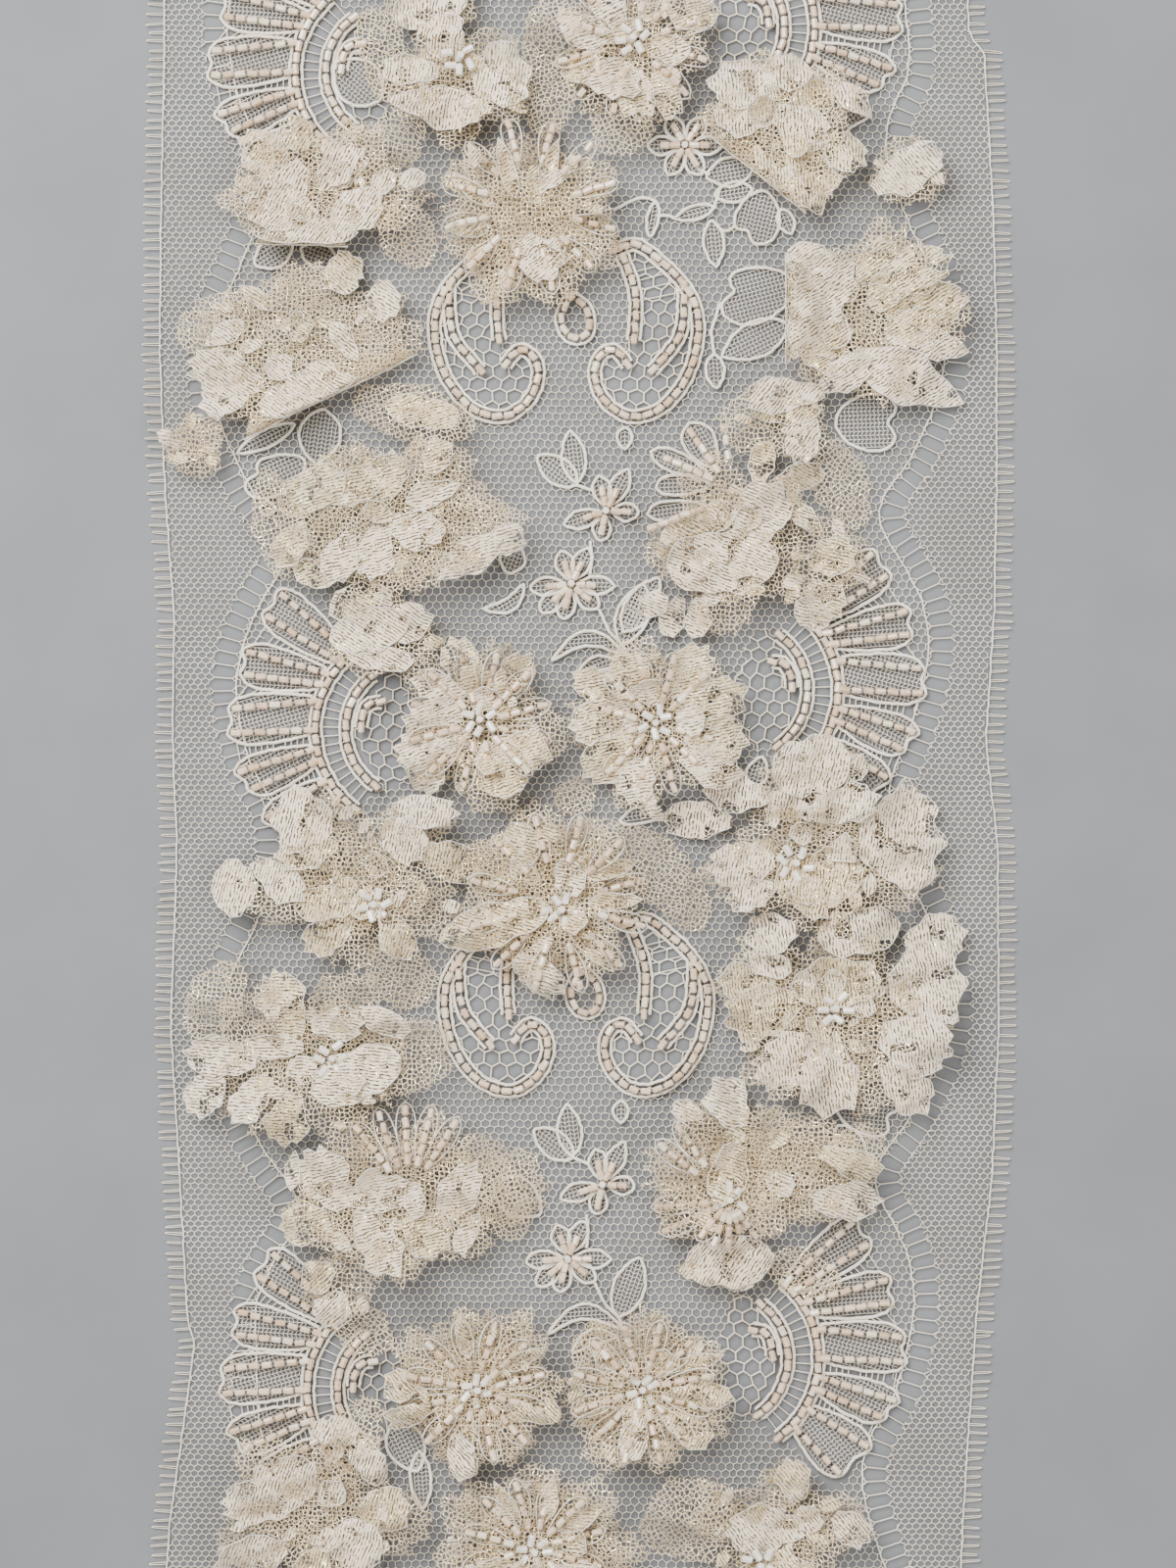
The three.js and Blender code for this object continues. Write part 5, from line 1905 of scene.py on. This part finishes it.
petal, gilt_petal, veil_petal = (cutter(PETAL, finish) for finish in (SATIN, GILT, VEIL))
pointed, gilt_pointed = (cutter(POINTED, finish) for finish in (SATIN, GILT))
disc, gilt_disc, veil_disc = (cutter(ROUND, finish) for finish in (SATIN, GILT, VEIL))
CUTS = {  # base, tip, width, and how far the tip rises
    1: [veil_disc(-38, 158, -47, 146, 12), veil_disc(-42, 160, -50, 184, 12),
        pointed(-22, 158, -45, 161, 10, 1), petal(-25, 165, -12, 168, 15, 2),
        petal(-33, 167.5, -46.5, 169, 7), petal(-30, 171, -34, 181, 11)],
    2: [veil_disc(-8, 152, -6, 187, 14), veil_disc(8, 162, 12, 148, 15), petal(10, 171, 7.5, 161, 12, 1.5),
        petal(17, 173, 26, 172.5, 7), gilt_petal(13, 168, 14, 156, 9), gilt_petal(18, 168, 22.5, 157, 7),
        petal(8, 176, -4, 178, 8), gilt_disc(21, 181, 33, 182, 9), petal(10, 178, 4, 189, 8),
        petal(15, 180, 20, 189, 7), gilt_petal(6, 170, -4, 167, 7)],
    3: [petal(47, 163, 31, 166, 11, 1.5), petal(47, 159, 32, 157, 10), disc(43, 168, 55, 167, 8, 1.2),
        gilt_petal(50, 160, 60, 163, 9), petal(46, 159, 58, 151, 10, 1.2), gilt_petal(48, 153, 56, 135, 15),
        gilt_petal(57, 152, 67, 146, 9), pointed(60, 165, 69, 157, 6)],
    4: [petal(69.5, 140, 85, 149.5, 10, 1), disc(71, 144, 80, 140, 6)],
    5: [veil_disc(-46, 136, -35, 123, 13), petal(-62, 133, -78, 138, 12, 1), disc(-77, 130, -52, 129.5, 7),
        petal(-59, 130, -47, 139, 10, 1.2), petal(-62, 141, -51, 149, 9), petal(-66, 138, -69, 147, 8),
        disc(-49, 140.5, -43, 143, 5.5), disc(-42, 141, -36, 143.5, 5), gilt_petal(-69, 147, -80, 152, 9),
        gilt_petal(-71, 143, -81, 143, 7), gilt_petal(-65, 149, -68, 157.5, 8)],
    6: [petal(-13, 129, -6, 119, 10, 1.2), pointed(-10, 141, -2, 144, 4),
        gilt_pointed(-15, 138, -19, 152, 4), gilt_pointed(-20, 136, -31, 144, 4),
        gilt_pointed(-9, 139, -5, 152, 4), gilt_pointed(-21, 131, -31, 130, 4)],
    7: [petal(51, 111, 64, 122, 13, 1), disc(48, 107, 64, 106, 13), disc(48, 123, 59, 124, 8),
        gilt_petal(69, 116, 87, 124, 11, 1.5), gilt_petal(72, 112, 90.5, 113.5, 11, 1.2),
        gilt_petal(72, 108, 85, 107, 9), pointed(78, 104.5, 92, 102, 7, 1.5),
        pointed(64, 101, 91, 90, 12, 1), petal(57, 93, 68, 99.5, 8, 1.2), gilt_disc(52, 102, 65, 99, 8),
        gilt_petal(66, 118, 74, 127, 9)],
    8: [petal(-75, 94, -91, 99, 11, 1.2), petal(-78, 92, -89, 89, 8), petal(-75, 88, -54, 95.5, 12),
        pointed(-79, 109, -88, 103, 5), petal(-46, 119, -46, 109, 8, 1.2),
        gilt_petal(-59, 118, -52, 124, 8), gilt_disc(-61, 120, -52, 117, 6),
        pointed(-58.5, 109, -52, 99.5, 5), gilt_pointed(-72, 112, -80, 117.5, 4)],
    9: [veil_disc(-69, 48, -74, 75, 11), veil_disc(-54, 91, -24, 84, 14), gilt_disc(-46, 90, -28, 86, 8),
        petal(-47, 61, -49, 48.5, 9), petal(-54, 59, -58.5, 47.5, 8.5),
        petal(-45, 61.5, -33, 58.5, 9.5, 1.2), pointed(-41, 66.5, -28, 70.5, 6, 1),
        petal(-34, 49, -19, 57, 8.5), petal(-22, 55.5, -13, 59, 7, 1.2), gilt_disc(-71, 65, -55, 73, 10),
        gilt_petal(-59, 67, -47, 73, 9), gilt_petal(-65, 61, -71, 51.5, 8),
        gilt_pointed(-67, 52, -59, 46.5, 6), gilt_petal(-46, 67, -44, 78, 9),
        gilt_petal(-35, 73, -32, 81, 7)],
    10: [gilt_disc(-59, 40, -46, 46.5, 8), disc(-59, 34, -40, 38.5, 10, 1), petal(-48, 36, -35, 39.5, 9),
        disc(-55, 31, -39, 28.5, 6)],
    11: [disc(47, 53, 20.5, 51.5, 15, 2.2), petal(38, 57, 47, 70, 13, 1.2), gilt_disc(19, 57, 37, 65, 8),
        disc(14, 41, 21, 44, 6), petal(24, 44, 20.5, 35, 6), petal(28.5, 44, 27.5, 34.5, 6),
        gilt_petal(42, 70, 44, 81, 6), gilt_petal(45, 70, 58, 74, 6), gilt_pointed(49, 67, 58, 58, 5)],
    12: [veil_disc(-6, -5, 4, -1, 9), petal(-26, 10, -41, 15.5, 8.5, 1), petal(-29, 7, -43, 8.5, 9, 1),
        petal(-33, 6, -38.5, -1, 9), gilt_disc(-25, 2, -12, 1, 9), gilt_petal(-19, 10, -7, 6, 9),
        petal(-27, 20, -39, 25, 7), gilt_petal(-24, 21, -30, 34, 9), gilt_petal(-19, 21, -12, 30, 8)],
    13: [gilt_petal(23, 16, 39, 22, 11, 1), gilt_petal(25, 12, 39.5, 9.5, 11, 1), petal(24, 7, 38, 2, 10),
        gilt_petal(13, 11, 1.5, 2, 11), gilt_petal(11, 15, -2, 14, 10), petal(15, 6, 12, -4, 9),
        gilt_petal(21, 21, 30, 32, 9), gilt_petal(15, 21, 10, 32, 9), gilt_petal(10, 19, -1, 26, 8)],
    14: [petal(66, -13, 85.5, -12.5, 25, 2.2), petal(45, -3, 30, -1.5, 9), petal(36, -9, 20, -8, 9),
        gilt_disc(46, -24, 67, -20, 13), gilt_petal(50, -22, 58, -31, 8), petal(46, -18, 31, -20, 11),
        petal(46, -24, 35, -28, 7), petal(54, -7, 70, -3, 9, 1.2)],
    15: [disc(56, -36.5, 76, -33, 11, 1), petal(51, -34, 39.5, -36.5, 10), disc(40, -41, 50, -44, 6),
        petal(77, -38, 91, -35, 11, 1.5), petal(73, -48, 90.5, -46, 19, 2.4),
        petal(71, -59, 87, -63, 15, 2.2), petal(72, -66, 82, -77, 10, 1), petal(59, -60, 42, -69, 12, 1),
        petal(60, -61, 58, -78, 14, 1.2), gilt_disc(50, -48, 71, -46, 12), gilt_petal(52, -51, 35, -56, 13),
        gilt_petal(46, -47, 33, -46, 9)],
    16: [veil_disc(-48, -38, -36, -52, 15), petal(-58, -9, -72, -8, 15, 1.2),
        gilt_petal(-57, -14, -71, -17, 9), disc(-76, -24, -87, -25, 13, 1.6),
        petal(-77, -18, -65, -27, 8, 1), petal(-46, -9, -37, -17, 10), gilt_petal(-38, -15, -23.5, -21, 9),
        gilt_disc(-67, -29, -52, -27, 8), petal(-45, -6, -29, -7, 8), gilt_petal(-54, -31, -64, -39, 9),
        gilt_petal(-46, -31, -40, -41, 8)],
    17: [veil_disc(10, -10, 30, -34, 14), gilt_disc(-33, -37, -7, -29, 10, 1),
        disc(-4, -17.5, -0.5, -26.5, 7, 1.5), gilt_disc(-16, -9, -11, -19, 8),
        gilt_pointed(2, -22, 14, -18, 4), gilt_pointed(2, -28, 15, -27, 4),
        gilt_pointed(-2, -34, 8, -44, 4), petal(-15, -41, -4, -49, 8)],
    18: [veil_disc(-80, -42, -92, -60, 13), petal(-76, -65, -93, -64, 10, 1.5),
        petal(-84, -69, -92, -77, 9, 1), petal(-63, -57, -51, -56, 8, 1), petal(-52, -53, -40, -58.5, 6.5),
        gilt_petal(-67, -60, -72, -44.5, 11), petal(-65, -62, -79, -62, 6),
        disc(-63, -73, -42, -64, 12, 1.4), gilt_petal(-67, -73, -70, -85, 10), petal(-73, -69, -81, -79, 8)],
    19: [veil_petal(-28, -90, -8, -99, 18), veil_disc(-26, -82, -14, -108, 13),
        petal(-57, -98, -38, -95.5, 8, 1), petal(-52, -100, -43, -115, 9.5, 1),
        petal(-55, -100, -64, -86.5, 12, 1.2), pointed(-68, -96, -67, -86.5, 4),
        petal(-33, -104, -24.5, -89.5, 9, 1.2), gilt_petal(-59, -102, -70, -105, 10),
        gilt_petal(-41, -102, -31, -109, 11), pointed(-29, -110, -23.5, -101, 5)],
    20: [veil_disc(32, -104, 18, -97, 13), veil_petal(58, -88, 72, -83, 11), petal(38, -81, 32.5, -69.5, 10),
        gilt_petal(38, -85, 32.5, -99, 9, 1), petal(55, -98, 71, -98.5, 9), gilt_petal(57, -86, 71, -92, 7),
        petal(29, -78, 22, -76, 5)],
    21: [gilt_petal(-37, -141, -46, -141.5, 7), gilt_pointed(-26, -135, -28, -124, 4),
        gilt_pointed(-18, -138, -8, -132, 4), gilt_pointed(-17, -146, -6, -150, 4),
        petal(-29, -153, -26, -163, 7), gilt_petal(-35, -147, -46, -150, 6)],
    22: [gilt_petal(20, -148, 31, -155, 7), gilt_pointed(21, -138, 34, -134, 4),
        gilt_pointed(8, -138, 3, -131, 4), petal(14, -149, 12, -158, 7), gilt_pointed(9, -147, -2, -151, 4),
        gilt_petal(22, -143, 36, -144, 6)],
    23: [gilt_petal(-16, -183, -28, -190, 8), gilt_pointed(-5, -176, 6, -170, 4),
        gilt_pointed(-14, -175, -20, -164, 4), petal(-4, -185, 8, -190, 8),
        gilt_pointed(-8, -174, -6, -163, 4)],
    24: [veil_disc(-56, -158, -48, -145, 11), petal(-65, -168, -83.5, -169, 11, 1),
        petal(-69, -180, -85, -184, 11, 1), petal(-62, -167, -70, -159, 9),
        disc(-58, -176, -47, -183, 12, 1.2), petal(-51, -154, -47, -165, 7), petal(-63, -152, -52, -153, 7),
        gilt_petal(-60, -180, -66, -190, 9), gilt_petal(-52, -172, -40, -170, 11)],
    25: [veil_disc(36, -168, 15, -179, 19), petal(53, -175.5, 35, -176, 11, 1.2),
        petal(46, -171, 41, -182, 9), petal(60, -172, 68, -178, 8), gilt_petal(52, -169, 49, -159, 8),
        gilt_petal(50, -183, 57, -192, 8), gilt_petal(44, -184, 36, -191, 8)],
    26: [veil_disc(44, -112, 62, -120, 11), disc(25, -113.5, 46, -111.5, 12, 1),
        disc(37, -116, 41, -118.5, 4)],
    27: [veil_disc(58, 82, 66, 60, 13), petal(58, 92.5, 38.5, 91, 8, 1), gilt_disc(41, 88, 57, 88, 6),
        petal(55, 86.5, 51, 76, 8)],
    28: [gilt_petal(54, 52, 65, 55, 9), gilt_petal(54, 47, 61.5, 40, 9), disc(51, 43, 59, 37.5, 7)],
    29: [disc(45.5, 2, 64, 6.5, 14, 1), petal(51, -1, 47, -8, 9), petal(60, 2, 68, 5, 7)],
    30: [veil_disc(-58, -124, -45, -134, 12), petal(-56, -120, -60, -128, 9),
        gilt_petal(-58, -114, -65, -118, 8)],
    31: [veil_disc(-97, 78, -84, 84, 9)],
    32: [disc(-44, 181, -26, 186, 11, 1), gilt_petal(-32, 188, -24, 191, 6)],
}
print("patches set down by hand:", sum(len(cuts) for cuts in CUTS.values()))

# %% [markdown]
# Round these lie smaller scraps that only follow a recipe. A bloom has most of them, a tuft is mostly
# crumpled veil, a flap is folded over along a straight line, and a leaf is a small cut-off end.

# %% Recipes for the flowers
Recipe = namedtuple("Recipe", "veils scraps standing gilt")
RECIPES = {  # a veil has a lift, a depth of its pleats and a size
    "bloom": Recipe([(0, 1.6, 1.06), (1.0, 1.6, 0.7)], scraps=16, standing=3, gilt=0.45),
    "tuft": Recipe([(0, 1.5, 1.06), (1.0, 1.9, 0.95), (2.0, 1.8, 0.62)], scraps=9, standing=2, gilt=0.75),
    "flap": Recipe([(0, 1.2, 1.03), (0.5, 1.2, 0.9)], scraps=10, standing=2, gilt=0.45),
    "leaf": Recipe([(0, 0.8, 1.05)], scraps=4, standing=0, gilt=0.5),
}
KINDS = {
    "tuft": (6, 17, 20, 21, 22, 23), "flap": (3, 5, 7, 8, 9, 19), "leaf": (4, 10, 26, 27, 28, 29, 30, 31, 32),
}
SCRAP_SHAPES = [PETAL, PETAL, POINTED, ROUND]
UNEVEN_STEP = (-0.3, 0.3)  # of the angle from one scrap or petal to the next
SCRAP_START = (0.2, 0.9)  # of the flower's reach
SCRAP_LENGTH = (3.5, 6.5)
SCRAP_WIDTH = (0.45, 0.6)  # of its length
SCRAP_TURN = (-90, 90)
SCRAP_RISE = (0, 0.5)
STANDING = {
    "root": (1.5, 5), "length": (6, 9), "width": (5, 7.5), "start": (5, 25), "end": (30, 75),
    "cup": (-0.3, 1), "ruffle": (0.2, 0.5),
}


def random_finish(chance, recipe):
    return GILT if chance.random() < recipe.gilt else SATIN


def scrap_patches(form, recipe, chance):
    """Small uneven patches round a flower's middle."""
    first = chance.uniform(0, 360)
    patches = []
    for number in range(recipe.scraps):
        heading = first + 360 / recipe.scraps * (number + chance.uniform(*UNEVEN_STEP))
        reach = float(form.reach(math.radians(heading)))
        place = toward((0, 0), heading, reach * chance.uniform(*SCRAP_START))
        length = chance.uniform(*SCRAP_LENGTH)
        patches.append(Patch(
            place=place,
            heading=heading + chance.uniform(*SCRAP_TURN),
            length=length,
            width=length * chance.uniform(*SCRAP_WIDTH),
            shape=SCRAP_SHAPES[chance.integers(len(SCRAP_SHAPES))],
            finish=random_finish(chance, recipe),
            rise=chance.uniform(*SCRAP_RISE),
            tone=chance.random(),
        ))
    return patches


def standing_petals(recipe, chance):
    petals = []
    first = chance.uniform(0, 360)
    for number in range(recipe.standing):
        heading = first + 360 / recipe.standing * (number + chance.uniform(*UNEVEN_STEP))
        sizes = {name: chance.uniform(*limits) for name, limits in STANDING.items()}
        petals.append(Petal(heading, **sizes, finish=random_finish(chance, recipe), tone=chance.random()))
    return petals


print("recipes:", list(RECIPES))

# %% [markdown]
# Some flowers carry a rosette: strings of beads that spread from a middle, each in a pod of cord. They are
# laid on the flower's sheet, as the patches are. A doubled net looks like a thread along its fold, so one is
# laid there.

# %% Rosettes and creases
Rosette = namedtuple(
    "Rosette", "flower middle first last rays start reach pod", defaults=(15, 345, 12, 6, 15.5, 4.6)
)
ROSETTES = [
    Rosette(2, (12.6, 175), start=8, reach=17),
    Rosette(6, (-11.5, 136), start=11.5, reach=19.5),
    Rosette(11, (35, 70), 123, 155, 2, 5, 15.5, 0),
    Rosette(11, (35.9, 71.5), 98, 98, 1, 6, 12.5, 0),
    Rosette(11, (39, 68.6), 201, 201, 1, 11, 23.5, 0),
    Rosette(12, (-23.5, 14.5)),
    Rosette(13, (18.2, 14.2)),
    Rosette(17, (-5, -28), start=11, reach=20),
    Rosette(19, (-40, -97), 58, 128, 5, 8.5, 20),
    Rosette(20, (35.4, -97.9), 125, 141, 2, 11, 20.5),
    Rosette(20, (35.4, -97.9), 187, 207, 2, 6, 16.5),
    Rosette(20, (35.4, -97.9), 230, 306, 5, 4, 10),
    Rosette(21, (-24.2, -143)),
    Rosette(22, (14.9, -143)),
    Rosette(23, (-10.7, -180)),
]
ROSETTE_LIFT = 0.5
STRING_POINTS = 6
POD_BEHIND, POD_AHEAD = -1.5, 2  # from the first and the last bead of a string to its pod's ends
POD_CORD_WIDTH = 0.5
CREASE_STEPS = 40
CREASE_WIDTH = 0.55
sewn_strings = []


def sew_rosette(sheet, rosette):
    """Strings of beads that spread from a middle, each with a cord round it, on a flower's sheet."""
    for heading in np.linspace(rosette.first, rosette.last, rosette.rays):
        ends = [toward(rosette.middle, heading, distance) for distance in (rosette.start, rosette.reach)]
        string = sheet.lay(np.linspace(*ends, STRING_POINTS) - sheet.form.middle)
        string[:, 2] += ROSETTE_LIFT + BEAD_WIDTH / 2
        sewn_strings.append(string)
        if rosette.pod:
            base, tip = toward(ends[0], heading, POD_BEHIND), toward(ends[1], heading, POD_AHEAD)
            outline = leaf_outline(base, tip, rosette.pod, belly=1.5, point=0.5) - sheet.form.middle
            cord = sheet.lay(np.concatenate([outline, outline[:1]]))
            cord[:, 2] += ROSETTE_LIFT
            add_line(hem_bits, cord, POD_CORD_WIDTH)


def add_crease(sheet):
    """A thread along the outermost line of a fold, where the doubled net is seen edge on."""
    outermost = (np.pi / 2 - 1) * ROLL_RADIUS * sheet.out
    flat = np.linspace(*sheet.ends, CREASE_STEPS) + outermost
    add_line(hem_bits, sheet.lay(flat), CREASE_WIDTH)


print("rosettes:", len(ROSETTES))

# %% [markdown]
# Now each flower is put together: its veils, the patches on the topmost one, the petals that stand free, and
# its rosette and crease. Flowers, veils, patches and petals all draw their random numbers from fixed seeds,
# so that every run gives the same lace.

# %% Dressing the flowers
FLOWER_SEED = 50
SHEET_SEEDS, LAYER_SEEDS = 100, 7  # from one flower, and from one veil, to the next
PATCH_SEEDS = 1000  # from one flower to the next
STANDING_SEED = 500  # where those of the petals start among them


def dress_flower(number, form):
    kind = next((kind for kind, numbers in KINDS.items() if number in numbers), "bloom")
    recipe = RECIPES[kind]
    chance = np.random.default_rng(FLOWER_SEED + number)
    bits = Bits()
    area = 0
    sheets = []
    for layer, (lift, depth, size) in enumerate(recipe.veils):
        seed = SHEET_SEEDS * number + LAYER_SEEDS * layer
        sheets.append(SewnSheet(form, FOLDS.get(number), seed, lift, depth))
        area += add_veil(bits, sheets[-1], size)
    warp = chance.uniform(0, 180)
    patches = scrap_patches(form, recipe, chance)
    patches += [cut._replace(place=cut.place - form.middle, tone=chance.random()) for cut in CUTS[number]]
    for seed, patch in enumerate(patches, PATCH_SEEDS * number):
        area += add_patch(bits, sheets[-1], patch, warp, seed)
    for seed, petal in enumerate(standing_petals(recipe, chance), PATCH_SEEDS * number + STANDING_SEED):
        area += add_petal(bits, form, petal, warp, seed)
    for rosette in ROSETTES:
        if rosette.flower == number:
            sew_rosette(sheets[-2], rosette)
    if number in FOLDS:
        add_crease(sheets[-1])
    flower = new_piece(f"lace_flower_{number:02d}", bits, FLOWER_FINISHES)
    settle(flower, "tulle" if kind == "tuft" else "lace_petals", form.node)


for number, form in forms.items():
    dress_flower(number, form)
settle(new_piece("petal_hems", hem_bits, [white_cord]), "lace_petals")
bead_piece("rosette_beads", sewn_strings, seed=40)

# %% [markdown]
# The white beads at the middle of the large flowers lie in a ring of six round a seventh that stands up.
# They are points with headings, like those of the little flowers, so one tree places all of them.

# %% White bead clusters
CLUSTERS = [
    (-28.1, 170.9), (12.6, 175.6), (-23.5, 15.1), (17.9, 14.4), (50.9, -18.6), (60.2, -53),
    (-48.6, -28.4), (-4.4, -29.8), (-58.4, -64.7), (-24.2, -143), (14.9, -143), (-10.7, -180.9),
    (35.4, -97.9), (42.5, -184),
]
CLUSTER_LIFT = 2.2
MIDDLE_BEAD_LIFT = 0.7
MIDDLE_BEAD_HEADING = (0.2, 0.1, 1)
RING_BEADS = 6
RING_RADIUS = 2.9
RING_TURN = (-14, 14)
RING_REACH = (0.85, 1.2)  # of its radius
RING_LIFT = (-0.3, 0.4)
RING_LEAN = (-30, 30)
RING_RISE = (0, 0.35)
WHITE_VALUES = {"Shape": cluster_bead, "Unevenness": 0.06, "Tilt": 0.2, "Seed": 77, "Finish": white_bead}
cluster_chance = np.random.default_rng(8)


def lay_out_cluster(place):
    place = np.array(place)
    nearest = min(forms.values(), key=lambda form: np.linalg.norm(form.middle - place))
    height = float(nearest.top(place)) + CLUSTER_LIFT
    white_places.append((*place, height + MIDDLE_BEAD_LIFT))
    white_headings.append(MIDDLE_BEAD_HEADING)
    turns = np.arange(RING_BEADS) * 360 / RING_BEADS + place[0]
    for turn in turns + cluster_chance.uniform(*RING_TURN, RING_BEADS):
        spot = toward(place, turn, RING_RADIUS * cluster_chance.uniform(*RING_REACH))
        white_places.append((*spot, height + cluster_chance.uniform(*RING_LIFT)))
        lean = math.radians(turn + cluster_chance.uniform(*RING_LEAN))
        white_headings.append((math.cos(lean), math.sin(lean), cluster_chance.uniform(*RING_RISE)))


for place in CLUSTERS:
    lay_out_cluster(place)
white_points = point_object("white_beads", white_places, white_headings)
settle(grow(white_points, shapes_on_points, WHITE_VALUES, smooth=False), "beads")

# %% [markdown]
# ## Triangles
#
# The triangles of every piece that is shown are counted.

# %% Triangles in all
added = 0
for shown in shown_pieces():
    shown.data.calc_loop_triangles()
    added += len(shown.data.loop_triangles)
print("triangles in all:", added)
